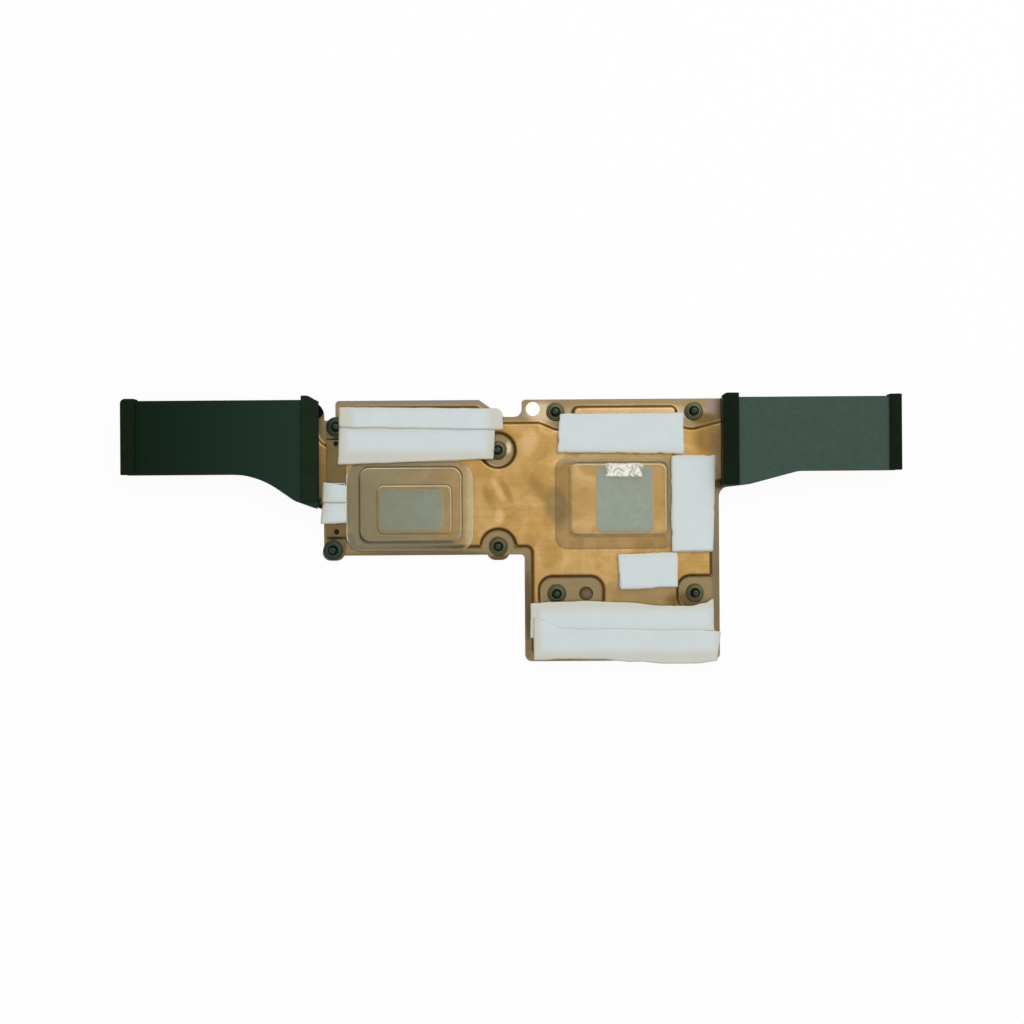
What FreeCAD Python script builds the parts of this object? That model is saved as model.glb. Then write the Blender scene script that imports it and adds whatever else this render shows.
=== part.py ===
"""Laptop heatsink: a flat vapour chamber with a bank of folded fins soldered on each arm.

The part lies on its back with the side that meets the board upwards. +X runs along the laptop's
rear edge, +Y towards the air outlet, +Z away from the chamber's back. The origin is the middle of
the part's box, on the plane it rests on. All sizes are millimetres.
"""

import FreeCAD, Part
import math
import os
import re
import Sketcher

SIZES = [
    # Stamped copper shells of the chamber
    ("plate_gauge", 0.4, "thickness of each copper shell"),
    ("front_rise", 0.8, "height of the front pan above the rim"),
    ("back_depth", 1.2, "depth of the back pan below the rim"),
    ("wall_run", 1.1, "width of a pan's sloping wall, seen from above"),
    ("rim", 1.4, "width of the bonded rim round the arms"),
    # Outline of the chamber
    ("body_top", 43.1, "rear edge, also the outlet edge of the fins"),
    ("body_right", 69.05, "right edge of the graphics half"),
    ("body_bottom", -44.05, "front edge of the graphics half"),
    ("graphics_left", 4.2, "left edge of the graphics half"),
    ("processor_bottom", -8.45, "front edge of the processor half"),
    ("flank_left", -62.5, "left edge of the processor half"),
    ("corner_radius", 1.3, "small outline corners"),
    ("foot_radius", 2.3, "front corners"),
    # Arms
    ("arm_end", 127.9, "outer end of each arm, from the middle"),
    ("arm_front", 18.7, "front edge of the arms, on the fan's side"),
    ("left_flare_start", 43.95, "from the left arm's end to where the fan curve leaves the front edge"),
    ("left_flare_end", 56.75, "from the left arm's end to where the fan curve eases off"),
    ("left_flare_front", 9.75, "left arm: front edge at the end of the curve"),
    ("left_arm_root", 6.8, "left arm: front edge where it meets the flank"),
    ("left_flare_radius", 28.0, "left arm: radius of the fan curve"),
    ("left_ease_radius", 6.0, "left arm: radius of the return curve"),
    ("right_flare_start", 32.85, "from the right arm's end to where the fan curve leaves the front edge"),
    ("right_flare_end", 49.7, "from the right arm's end to where the fan curve eases off"),
    ("right_flare_front", 14.3, "right arm: front edge at the end of the curve"),
    ("right_arm_root", 13.4, "right arm: front edge where it meets the body"),
    ("right_flare_radius", 15.0, "right arm: both curve radii"),
    ("root_radius", 3.4, "inside corner between the body and the right arm"),
    # Notches of the rear edge
    ("arm_shoulder", -62.2, "inner end of the left arm"),
    ("shoulder_radius", 5.0, "rounded inner corner of the left arm"),
    ("notch_floor", 36.6, "floor of the notch by the upper left screw"),
    ("notch_right", -58.45, "right side of that notch"),
    ("bay_left", -10.6, "start of the bevel into the middle bay"),
    ("bay_floor_left", -2.7, "left end of the middle bay's floor"),
    ("bay_floor", 37.4, "floor of the middle bay"),
    ("bay_radius", 2.6, "inside corners of the middle bay"),
    ("tab_left", 3.55, "left side of the tab with the round hole"),
    # Contour of the raised pan
    ("pan_top", 41.3, "rear side of the pan"),
    ("pan_bay", 35.9, "rear side of the pan in the middle bay"),
    ("bay_setback", 0.6, "how far left of the rim's bevel the pan's bevel lies"),
    ("pan_right", 66.75, "right side of the pan"),
    ("pan_bottom", -42.1, "front side of the pan, graphics half"),
    ("pan_left", 6.3, "left side of the pan, graphics half"),
    ("pan_processor_bottom", -6.2, "front side of the pan, processor half"),
    ("pan_flank", -60.9, "left side of the pan under the bracket"),
    ("pan_radius", 1.6, "corners of the pan"),
    ("panel_setback", 0.2, "how far the panel between the rear screws keeps in from the pan's rear side"),
    ("panel_radius", 2.4, "rear corners of that panel"),
    ("island", 5.3, "from a screw to the foot of the pan's wall"),
    ("island_radius", 3.9, "curve of that wall"),
    ("ear_island", 6.2, "from an ear screw to the foot of the pan's wall"),
    ("ear_bend", 5.2, "curve of that wall"),
    ("lobe_half", 3.9, "half width of the lobe round the front processor screw"),
    ("lobe_drop", 1.8, "how far that lobe stands out of the edge"),
    ("lobe_radius", 3.0, "round end of that lobe"),
    # Places of screws and holes
    ("graphics_screw_left", 14.8, "left graphics screws"),
    ("graphics_screw_right", 60.8, "right graphics screws"),
    ("graphics_screw_rear", 38.9, "rear graphics screws"),
    ("graphics_screw_front", -21.6, "front graphics screws"),
    ("processor_screw_x", -4.5, "right pair of processor screws"),
    ("processor_screw_rear", 26.3, "rear one of that pair"),
    ("processor_screw_front", -5.7, "front one of that pair"),
    ("ear_rear_x", -58.2, "screw in the bracket's rear ear"),
    ("ear_rear_y", 34.4, "screw in the bracket's rear ear"),
    ("ear_front_x", -59.4, "screw in the bracket's front ear"),
    ("ear_front_y", -6.6, "screw in the bracket's front ear"),
    ("tab_hole_x", 7.3, "round hole in the tab"),
    ("tab_hole_y", 40.0, "round hole in the tab"),
    ("tab_hole_radius", 2.4, "round hole in the tab"),
    ("dimple_x", 24.6, "blind locating hole beside the front left graphics screw"),
    ("dimple_radius", 2.3, "blind locating hole"),
    # Captive screws
    ("screw_hole_radius", 1.35, "clearance hole for a screw"),
    ("head_radius", 2.4, "screw head, in the recess of the back shell"),
    ("head_height", 0.95, "screw head"),
    ("thread_radius", 1.0, "threaded end, also the neck under it"),
    ("thread_length", 2.6, "threaded end above the retainer"),
    ("retainer_radius", 2.9, "retainer ring"),
    ("retainer_height", 1.0, "retainer ring"),
    ("ear_ring_radius", 3.3, "wider retainer rings on the bracket's ears"),
    ("small_sides", 16, "sides of the screw holes, heads and rings, which come close to round"),
    # Inside of the chamber
    ("room_inset", 1.9, "from the foot of the pan's wall to the hollow inside"),
    ("wick_gauge", 0.3, "wick mesh"),
    ("wick_clear", 0.4, "from the side of the hollow to the wick"),
    ("column_radius", 1.25, "support columns"),
    ("column_sides", 6, "etched columns are six-sided"),
    ("column_pitch", 15.0, "spacing of the support columns"),
    ("column_clear", 1.2, "least distance from a column to the wall"),
    # Fin banks
    ("fin_height", 5.9, "height of a fin"),
    ("fin_gauge", 0.2, "thickness of a fin"),
    ("fin_pitch", 1.45, "spacing of the fins"),
    ("fin_slit", 0.06, "gap between one fin's fold and the next fin"),
    ("left_fin_count", 44, "folded fins in the left bank"),
    ("right_fin_count", 40, "folded fins in the right bank"),
    ("cover_gauge", 0.15, "black film laid over each fin bank"),
    ("cover_inset", 0.4, "how far the film keeps back from the fins' edges"),
    # Foam sealing strips
    ("seal_gauge", 0.95, "thickness of the strips"),
    ("seal_corner", 3.9, "rounded corner of the left inner strip"),
    ("seal_bevel", 1.6, "rounded corner of the other strips at the outlet"),
    ("seal_foot", 4.0, "height of the folded end above the resting plane"),
    ("seal_lap", 0.6, "how far the outer strips stand out past the arms"),
    ("inner_seal_leg", 1.4, "folded end of the inner strips"),
    ("outer_seal_leg", 0.7, "folded end of the outer strips"),
    ("left_outer_seal_width", 4.8, "left outer strip"),
    ("left_inner_seal_width", 5.2, "left inner strip"),
    ("right_inner_seal_width", 5.3, "right inner strip"),
    ("right_outer_seal_width", 4.0, "right outer strip"),
    # Bracket at the left of the processor
    ("bracket_gauge", 0.6, "thickness of the steel strip"),
    ("strip_left", -61.45, "left side of the strip"),
    ("strip_width", 6.5, "width of the strip"),
    ("strip_end_radius", 3.1, "round rear end of the strip"),
    ("ear_radius", 3.5, "round front ear"),
    ("ear_corner", 2.7, "corners that make the front ear round"),
    ("joggle_run", 0.8, "length of the joggle down to an ear"),
    ("joggle_gap", 0.4, "from a joggle's foot to the ring on the ear"),
    ("peg_hole_rear", 28.7, "rear locating hole of the strip"),
    ("peg_hole_front", -0.45, "front locating hole of the strip"),
    ("peg_hole_radius", 0.85, "locating holes"),
    # Paste and the film covers over it
    ("paste_gauge", 0.1, "printed paste"),
    ("processor_paste_left", -44.4, "paste on the processor contact"),
    ("processor_paste_front", -0.45, "paste on the processor contact"),
    ("processor_paste_width", 21.75, "paste on the processor contact"),
    ("processor_paste_depth", 13.9, "paste on the processor contact"),
    ("graphics_paste_left", 28.0, "paste on the graphics contact"),
    ("graphics_paste_front", -1.45, "paste on the graphics contact"),
    ("graphics_paste_width", 19.3, "paste on the graphics contact"),
    ("graphics_paste_depth", 22.5, "paste on the graphics contact"),
    ("film_gauge", 0.25, "clear film"),
    ("film_run", 0.6, "width of a film step's sloping wall"),
    ("film_corner", 4.5, "outer corners of the film"),
    ("processor_film_left", -54.4, "processor film"),
    ("processor_film_front", -7.2, "processor film"),
    ("processor_film_width", 41.6, "processor film"),
    ("processor_film_depth", 29.6, "processor film"),
    ("low_step_left", -51.0, "lower step of the processor film"),
    ("low_step_front", -5.0, "lower step of the processor film"),
    ("low_step_width", 34.9, "lower step of the processor film"),
    ("low_step_depth", 26.2, "lower step of the processor film"),
    ("low_step_rise", 1.2, "lower step of the processor film"),
    ("high_step_left", -45.0, "upper step of the processor film"),
    ("high_step_front", -1.9, "upper step of the processor film"),
    ("high_step_width", 25.5, "upper step of the processor film"),
    ("high_step_depth", 17.1, "upper step of the processor film"),
    ("high_step_rise", 0.9, "upper step of the processor film"),
    ("graphics_film_left", 14.45, "graphics film"),
    ("graphics_film_front", -6.8, "graphics film"),
    ("graphics_film_width", 38.6, "graphics film"),
    ("graphics_film_depth", 30.6, "graphics film"),
    ("wide_step_left", 19.75, "step of the graphics film"),
    ("wide_step_front", -2.85, "step of the graphics film"),
    ("wide_step_width", 31.8, "step of the graphics film"),
    ("wide_step_depth", 24.4, "step of the graphics film"),
    ("wide_step_rise", 1.5, "step of the graphics film"),
    # Pads
    ("pad_gauge", 1.5, "pads on the chamber"),
    ("small_pad_gauge", 0.9, "pads on the bracket"),
    ("liner_gauge", 0.15, "release liner"),
    ("liner_lap", 0.4, "how far a liner overhangs its pad along the long sides"),
]

# Soft pads: name, level they lie on, left, front, width, depth, liner overhang left and right,
# liner overhang towards the front, layer of the liner
PADS = [
    ("choke_pad_rear", "plate", -54.7, 33.3, 51.6, 7.7, 1.6, 0.7, 0.4, 1),
    ("choke_pad_front", "plate", -54.4, 23.1, 46.5, 9.7, 1.9, 1.5, 0.4, 0),
    ("driver_pad_rear", "strip", -61.2, 9.8, 6.2, 6.0, 1.6, 0.6, 0.3, 1),
    ("driver_pad_front", "strip", -61.2, 3.1, 6.2, 6.1, 2.0, 0.4, 0.3, 0),
    ("memory_pad_rear", "plate", 18.1, 24.5, 39.0, 13.3, 1.15, 0.4, 0.3, 0),
    ("memory_pad_side", "plate", 53.7, -8.0, 13.1, 31.6, 0.4, 0.5, 0.4, 0),
    ("memory_pad_front", "plate", 35.4, -19.7, 19.4, 10.8, 0.4, 0.3, 0.3, 0),
    ("power_pad_rear", "plate", 6.5, -33.4, 59.9, 8.6, 0.9, 0.4, 3.8, 0),
    ("power_pad_front", "plate", 7.0, -44.1, 60.9, 10.3, 0.35, 0.45, 0.4, 1),
]
PAD_FIELDS = ("left", "front", "width", "depth", "liner_left", "liner_right", "liner_front")

doc = FreeCAD.newDocument("laptop_heatsink")
sheet = doc.addObject("Spreadsheet::Sheet", "sizes")
NAMES = []


def add_size(alias, number, note):
    """Puts one driving size on the sheet."""
    row = len(NAMES) + 1
    sheet.set(f"A{row}", note)
    sheet.set(f"B{row}", str(number))
    sheet.setAlias(f"B{row}", alias)
    NAMES.append(alias)


for entry in SIZES:
    add_size(*entry)
for pad, _, *numbers, _ in PADS:
    for field, number in zip(PAD_FIELDS, numbers):
        add_size(f"{pad}_{field}", number, f"{pad.replace('_', ' ')}: {field.replace('_', ' ')}")
doc.recompute()

RIM_BOTTOM = "back_depth"
SEAM = "(back_depth + plate_gauge)"
RIM_TOP = "(back_depth + 2 * plate_gauge)"
FRONT = "(back_depth + 2 * plate_gauge + front_rise)"
FIN_TOP = f"({FRONT} + fin_height)"
STRIP_TOP = f"({FRONT} + bracket_gauge)"
EAR_TOP = f"({RIM_TOP} + bracket_gauge)"
EAR_FLAT = "(ear_ring_radius + joggle_gap + joggle_run)"
LEFT_BANK_END = "(-arm_end + left_fin_count * fin_pitch + fin_gauge)"
RIGHT_BANK_END = "(arm_end - right_fin_count * fin_pitch - fin_gauge)"
LEFT_FLARE_START = "(left_flare_start - arm_end)"
LEFT_FLARE_END = "(left_flare_end - arm_end)"
RIGHT_FLARE_START = "(arm_end - right_flare_start)"
RIGHT_FLARE_END = "(arm_end - right_flare_end)"


def bound(text):
    """The expression with every size's name pointing at its cell."""
    return re.sub(r"[a-z]\w*", lambda m: f"sizes.{m[0]}" if m[0] in NAMES else m[0], str(text))


def value(text):
    """What an expression of sizes comes to."""
    return float(sheet.evalExpression(bound(text)))


def bind(thing, **expressions):
    """Ties properties of a document object to the sheet."""
    for name, text in expressions.items():
        thing.setExpression(name, bound(text))
    return thing


def move(thing, x="0", y="0", z="0"):
    """Ties a document object's place to the sheet."""
    for axis, text in zip("xyz", (x, y, z)):
        thing.setExpression(f".Placement.Base.{axis}", bound(text))
    return thing


def rounded_outline(sketch, corners):
    """Draws a closed outline through corners of (x, y, radius), all bound to the sheet."""
    points = [FreeCAD.Vector(value(x), value(y), 0) for x, y, _ in corners]
    radii = [value(radius) for _, _, radius in corners]
    count = len(points)
    trims = []
    for i, point in enumerate(points):
        before = (points[i - 1] - point).normalize()
        after = (points[(i + 1) % count] - point).normalize()
        half = before.getAngle(after) / 2
        reach = radii[i] / math.tan(half)
        trims.append((point + before * reach, point + after * reach, before, after, half))
    lines = []
    for i in range(count):
        side = Part.LineSegment(trims[i][1], trims[(i + 1) % count][0])
        lines.append(sketch.addGeometry(side, False))
    rules = []
    bindings = []
    for i, (x, y, radius) in enumerate(corners):
        incoming = lines[i - 1]
        outgoing = lines[i]
        corner = (outgoing, 1)
        if radii[i]:
            start, end, before, after, half = trims[i]
            centre = points[i] + (before + after).normalize() * (radii[i] / math.sin(half))
            forward = before.cross(after).z < 0
            first, last = (start, end) if forward else (end, start)
            sweep = [math.atan2(p.y - centre.y, p.x - centre.x) for p in (first, last)]
            circle = Part.Circle(centre, FreeCAD.Vector(0, 0, 1), radii[i])
            arc = sketch.addGeometry(Part.ArcOfCircle(circle, *sweep), False)
            spot = sketch.addGeometry(Part.Point(points[i]), True)
            corner = (spot, 1)
            rules.append(Sketcher.Constraint("Tangent", incoming, 2, arc, 1 if forward else 2))
            rules.append(Sketcher.Constraint("Tangent", arc, 2 if forward else 1, outgoing, 1))
            rules.append(Sketcher.Constraint("PointOnObject", spot, 1, incoming))
            rules.append(Sketcher.Constraint("PointOnObject", spot, 1, outgoing))
            bindings.append((len(rules), radius))
            rules.append(Sketcher.Constraint("Radius", arc, radii[i]))
        else:
            rules.append(Sketcher.Constraint("Coincident", incoming, 2, outgoing, 1))
        bindings.append((len(rules), x))
        rules.append(Sketcher.Constraint("DistanceX", -1, 1, *corner, points[i].x))
        bindings.append((len(rules), y))
        rules.append(Sketcher.Constraint("DistanceY", -1, 1, *corner, points[i].y))
    first_rule = sketch.ConstraintCount
    sketch.addConstraint(rules)
    for offset, text in bindings:
        sketch.setExpression(f"Constraints[{first_rule + offset}]", bound(text))


def new_sketch(name, corners=None, turn=None):
    """A sketch in the document, flat or turned up on edge."""
    sketch = doc.addObject("Sketcher::SketchObject", name)
    if turn is not None:
        sketch.Placement = FreeCAD.Placement(FreeCAD.Vector(0, 0, 0), turn)
    if corners is not None:
        rounded_outline(sketch, corners)
    return sketch


def box_corners(left, front, width, depth, radius):
    """Corners of a rectangle with rounded corners."""
    right = f"{left} + {width}"
    rear = f"{front} + {depth}"
    return [(left, rear, radius), (right, rear, radius), (right, front, radius), (left, front, radius)]


def extrude(name, sketch, length, z="0", direction=(0, 0, 1)):
    """A sketch drawn out along a direction."""
    solid = doc.addObject("Part::Extrusion", name)
    solid.Base = sketch
    solid.DirMode = "Custom"
    solid.Dir = FreeCAD.Vector(*direction)
    solid.Solid = True
    bind(solid, LengthFwd=length)
    return move(solid, z=z)


def origin_plane(body, role):
    """A body's own origin plane."""
    return next(item for item in body.Origin.OriginFeatures if item.Role == role)


def body_sketch(body, name, corners, role="XY_Plane"):
    """A sketch on one of a body's own origin planes."""
    sketch = body.newObject("Sketcher::SketchObject", name)
    sketch.AttachmentSupport = (origin_plane(body, role), [""])
    sketch.MapMode = "FlatFace"
    rounded_outline(sketch, corners)
    return sketch


def drafted(name, corners, depth, z, run, side=1):
    """A pressed form: an outline drawn out to one side of a level, its walls leaning in by a run."""
    body = doc.addObject("PartDesign::Body", name)
    sketch = body_sketch(body, f"{name}_outline", corners)
    pad = body.newObject("PartDesign::Pad", f"{name}_pad")
    pad.Profile = sketch
    pad.Reversed = side < 0
    bind(pad, Length=depth)
    doc.recompute()
    walls = [f"Face{i}" for i, face in enumerate(pad.Shape.Faces, start=1)
             if abs(face.normalAt(0, 0).z) < 0.5]
    draft = body.newObject("PartDesign::Draft", f"{name}_draft")
    draft.Base = (pad, walls)
    draft.NeutralPlane = (origin_plane(body, "XY_Plane"), [""])
    draft.Reversed = value(run) * side < 0
    bind(draft, Angle=f"atan(abs({run}) / ({depth}))")
    body.Tip = draft
    return move(body, z=z)


def fuse(name, shapes):
    """Joins solids."""
    joined = doc.addObject("Part::MultiFuse", name)
    joined.Shapes = shapes
    return joined


def cut(name, base, tool):
    """Takes one solid out of another."""
    rest = doc.addObject("Part::Cut", name)
    rest.Base = base
    rest.Tool = tool
    return rest


def common(name, base, tool):
    """What two solids share."""
    shared = doc.addObject("Part::Common", name)
    shared.Base = base
    shared.Tool = tool
    return shared


def compound(name, pieces):
    """Solids held together as one group."""
    group = doc.addObject("Part::Compound", name)
    group.Links = pieces
    return group


def block(name, left, front, right, rear, z, height):
    """A box between two corners."""
    box = doc.addObject("Part::Box", name)
    bind(box, Length=f"({right}) - ({left})", Width=f"({rear}) - ({front})", Height=height)
    return move(box, left, front, z)


def cylinder(name, x, y, z, radius, height):
    """A round pin or drill."""
    pin = doc.addObject("Part::Cylinder", name)
    bind(pin, Radius=radius, Height=height)
    return move(pin, x, y, z)


def prism(name, x, y, z, radius, height, sides="small_sides"):
    """A pin with flat sides that a circle of the radius fits into."""
    pin = doc.addObject("Part::Prism", name)
    bind(pin, Circumradius=f"{radius} / cos(180 / {sides})", Polygon=sides, Height=height)
    return move(pin, x, y, z)


NODES = []


def node(label, thing):
    """Marks a document object as one piece of the part."""
    thing.Label = label
    NODES.append(thing)
    return thing


# Chamber: two shells stamped to one outline and bonded along the rim
OVERLAP = "(pan_left + island)"
LOW_END = "(processor_bottom - 2 * foot_radius)"
outlines = {
    "left_arm": [
        ("-arm_end", "body_top", "0"),
        ("arm_shoulder", "body_top", "shoulder_radius"),
        ("arm_shoulder", "left_arm_root", "0"),
        (LEFT_FLARE_END, "left_flare_front", "left_ease_radius"),
        (LEFT_FLARE_START, "arm_front", "left_flare_radius"),
        ("-arm_end", "arm_front", "0"),
    ],
    "processor_half": [
        ("flank_left", "notch_floor", "0"),
        ("notch_right", "notch_floor", "0"),
        ("notch_right", "body_top", "corner_radius"),
        ("bay_left", "body_top", "corner_radius"),
        ("bay_floor_left", "bay_floor", "bay_radius"),
        ("tab_left", "bay_floor", "bay_radius"),
        ("tab_left", "body_top", "corner_radius"),
        (OVERLAP, "body_top", "0"),
        (OVERLAP, LOW_END, "0"),
        ("graphics_left", LOW_END, "0"),
        ("graphics_left", "processor_bottom", "corner_radius"),
        ("flank_left", "processor_bottom", "foot_radius"),
    ],
    "graphics_half": [
        ("graphics_left", "bay_floor", "0"),
        ("pan_left", "body_top", "0"),
        ("arm_end", "body_top", "0"),
        ("arm_end", "arm_front", "0"),
        (RIGHT_FLARE_START, "arm_front", "right_flare_radius"),
        (RIGHT_FLARE_END, "right_flare_front", "right_flare_radius"),
        ("body_right", "right_arm_root", "root_radius"),
        ("body_right", "body_bottom", "foot_radius"),
        ("graphics_left", "body_bottom", "foot_radius"),
    ],
    "screw_lobe": [
        ("processor_screw_x - lobe_half", "processor_screw_front", "0"),
        ("processor_screw_x + lobe_half", "processor_screw_front", "0"),
        ("processor_screw_x + lobe_half", "processor_bottom - lobe_drop", "lobe_radius"),
        ("processor_screw_x - lobe_half", "processor_bottom - lobe_drop", "lobe_radius"),
    ],
}
outlines = {name: new_sketch(f"{name}_outline", corners) for name, corners in outlines.items()}

# The raised pan: three fields, less the flats round the screws
FIELDS = {
    "left_arm": [
        ("-arm_end + rim", "pan_top", "0"),
        ("notch_right", "pan_top", "0"),
        ("notch_right", "left_arm_root + rim", "0"),
        (LEFT_FLARE_END, "left_flare_front + rim", "left_ease_radius"),
        (LEFT_FLARE_START, "arm_front + rim", "left_flare_radius"),
        ("-arm_end + rim", "arm_front + rim", "0"),
    ],
    "processor_half": [
        ("pan_flank", "pan_top", "0"),
        ("bay_left - bay_setback", "pan_top", "pan_radius"),
        ("bay_floor_left - bay_setback", "pan_bay", "bay_radius"),
        (OVERLAP, "pan_bay", "0"),
        (OVERLAP, LOW_END, "0"),
        ("pan_left", LOW_END, "0"),
        ("pan_left", "pan_processor_bottom", "pan_radius"),
        ("pan_flank", "pan_processor_bottom", "0"),
    ],
    "graphics_half": [
        ("pan_left", "pan_top", "0"),
        ("arm_end - rim", "pan_top", "0"),
        ("arm_end - rim", "arm_front + rim", "0"),
        (RIGHT_FLARE_START, "arm_front + rim", "right_flare_radius"),
        (RIGHT_FLARE_END, "right_flare_front + rim", "right_flare_radius"),
        ("pan_right", "right_arm_root + rim", "root_radius"),
        ("pan_right", "pan_bottom", "foot_radius"),
        ("pan_left", "pan_bottom", "foot_radius"),
    ],
}
REAR_OUT = "(body_top + rim)"
PANEL_REAR = "(pan_top - panel_setback)"
FLATS = {
    "rear_flats": [
        ("bay_floor_left", REAR_OUT, "0"),
        ("body_right + ear_island", REAR_OUT, "0"),
        ("body_right + ear_island", "pan_bay + rim", "0"),
        ("graphics_screw_right", "graphics_screw_rear - island", "bay_radius"),
        ("graphics_screw_right - island", "graphics_screw_rear - island", "island_radius"),
        ("graphics_screw_right - island", PANEL_REAR, "panel_radius"),
        ("graphics_screw_left + island", PANEL_REAR, "panel_radius"),
        ("graphics_screw_left + island", "graphics_screw_rear - island", "island_radius"),
        ("graphics_screw_left", "graphics_screw_rear - island", "bay_radius"),
        ("graphics_screw_left - island", "pan_bay", "bay_radius"),
        ("bay_floor_left", "pan_bay", "0"),
    ],
    "front_right_flat": [
        ("graphics_screw_right - island", "graphics_screw_front + island", "island_radius"),
        ("body_right + rim", "graphics_screw_front + island", "0"),
        ("body_right + rim", "graphics_screw_front - island", "0"),
        ("graphics_screw_right - island", "graphics_screw_front - island", "island_radius"),
    ],
    "front_left_flat": [
        ("graphics_screw_left - island", "graphics_screw_front + island", "island_radius"),
        ("dimple_x + island", "graphics_screw_front + island", "island_radius"),
        ("dimple_x + island", "graphics_screw_front - island", "island_radius"),
        ("graphics_screw_left - island", "graphics_screw_front - island", "island_radius"),
    ],
    "rear_ear_flat": [
        ("ear_rear_x - ear_island", REAR_OUT, "0"),
        ("ear_rear_x + ear_island", REAR_OUT, "0"),
        ("ear_rear_x + ear_island", "ear_rear_y - ear_island", "ear_bend"),
        ("ear_rear_x - ear_island", "ear_rear_y - ear_island", "ear_bend"),
    ],
    "front_ear_flat": [
        ("flank_left - rim", f"ear_front_y + {EAR_FLAT}", "0"),
        ("ear_front_x + ear_island", f"ear_front_y + {EAR_FLAT}", "pan_radius"),
        ("ear_front_x + ear_island", LOW_END, "0"),
        ("flank_left - rim", LOW_END, "0"),
    ],
}

GRAPHICS_SCREWS = [
    ("graphics_screw_left", "graphics_screw_rear"),
    ("graphics_screw_right", "graphics_screw_rear"),
    ("graphics_screw_left", "graphics_screw_front"),
    ("graphics_screw_right", "graphics_screw_front"),
]
PROCESSOR_SCREWS = [
    ("processor_screw_x", "processor_screw_rear"),
    ("processor_screw_x", "processor_screw_front"),
]
BRACKET_SCREWS = [("ear_rear_x", "ear_rear_y"), ("ear_front_x", "ear_front_y")]
ALL_SCREWS = GRAPHICS_SCREWS + PROCESSOR_SCREWS + BRACKET_SCREWS


def rim_plate(name, z):
    """One shell's flat blank, to the chamber's outline."""
    parts = [extrude(f"{name}_{half}", sketch, "plate_gauge", z) for half, sketch in outlines.items()]
    return fuse(name, parts)


def pressed_pan(name, z, depth, side):
    """The solid that a pan's outside bounds: it rises from a level to one side of the rim."""
    rest = [drafted(f"{name}_{field}", corners, depth, z, "wall_run", side)
            for field, corners in FIELDS.items()]
    tools = []
    for flat, corners in FLATS.items():
        if side < 0:
            corners = [(x, y, "0") for x, y, _ in corners]
        tools.append(drafted(f"{name}_{flat}", corners, depth, z, "-wall_run", side))
    for i, (x, y) in enumerate(PROCESSOR_SCREWS):
        if side < 0:
            square = box_corners(f"{x} - island", f"{y} - island", "2 * island", "2 * island", "0")
            tools.append(drafted(f"{name}_square_{i}", square, depth, z, "-wall_run", side))
        else:
            cone = doc.addObject("Part::Cone", f"{name}_round_{i}")
            bind(cone, Radius1="island", Radius2="island + wall_run", Height=depth)
            tools.append(move(cone, x, y, z))
    return cut(name, fuse(f"{name}_fields", rest), compound(f"{name}_flats", tools))


def moved_copy(name, source, z):
    """The same solid at another level."""
    copy = doc.addObject("Part::Compound", name)
    copy.Links = [source]
    return move(copy, z=z)


# The hollow inside, straight-sided: strips under the pan, less windows round the screws
STRIPS = [
    ("-arm_end + rim", "arm_front + rim", "bay_left - bay_setback", "pan_top"),
    (LEFT_FLARE_END, "left_flare_front + rim", "bay_left - bay_setback", "pan_top"),
    ("pan_flank", "pan_processor_bottom", "bay_left - bay_setback", "pan_top"),
    ("pan_flank", "pan_processor_bottom", OVERLAP, "pan_bay"),
    ("pan_left", "pan_bottom", "pan_right", "pan_top"),
    ("pan_left", "right_flare_front + rim", RIGHT_FLARE_END, "pan_top"),
    ("pan_left", "arm_front + rim", "arm_end - rim", "pan_top"),
]
WINDOWS = [
    ("bay_left", "pan_bay", "graphics_screw_left - island", REAR_OUT),
    ("ear_rear_x - ear_island", "ear_rear_y - ear_island", "ear_rear_x + ear_island", REAR_OUT),
    ("flank_left", LOW_END, "ear_front_x + ear_island", f"ear_front_y + {EAR_FLAT}"),
    ("graphics_screw_right - island", "graphics_screw_rear - island", "body_right + ear_island", REAR_OUT),
    ("dimple_x - island", "graphics_screw_front - island", "dimple_x + island", "graphics_screw_front + island"),
]
for x, y in GRAPHICS_SCREWS + PROCESSOR_SCREWS:
    WINDOWS.append((f"{x} - island", f"{y} - island", f"{x} + island", f"{y} + island"))


def room(name, inset, z, height):
    """The plan of the hollow, kept back from the pan's walls by an inset and drawn up from a level."""
    strips = []
    for i, (left, front, right, rear) in enumerate(STRIPS):
        strips.append(block(f"{name}_strip_{i}", f"{left} + {inset}", f"{front} + {inset}",
                            f"{right} - {inset}", f"{rear} - {inset}", z, height))
    windows = []
    for i, (left, front, right, rear) in enumerate(WINDOWS):
        windows.append(block(f"{name}_window_{i}", f"{left} - {inset}", f"{front} - {inset}",
                             f"{right} + {inset}", f"{rear} + {inset}", z, height))
    return cut(name, fuse(f"{name}_strips", strips), compound(f"{name}_windows", windows))


def shell(label, rim_bottom, pan, hollow, blind):
    """One half of the chamber: rim and pan less the hollow, drilled through the rim."""
    drills = [prism(f"{label}_drill_{i}", x, y, rim_bottom, "screw_hole_radius", "plate_gauge")
              for i, (x, y) in enumerate(ALL_SCREWS)]
    for i, (x, y, radius) in enumerate([("tab_hole_x", "tab_hole_y", "tab_hole_radius"), *blind]):
        drills.append(cylinder(f"{label}_bore_{i}", x, y, rim_bottom, radius, "plate_gauge"))
    blank = fuse(f"{label}_blank", [rim_plate(f"{label}_rim", rim_bottom), pan])
    tools = compound(f"{label}_tools", [hollow, *drills])
    return node(label, cut(label, blank, tools))


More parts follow.
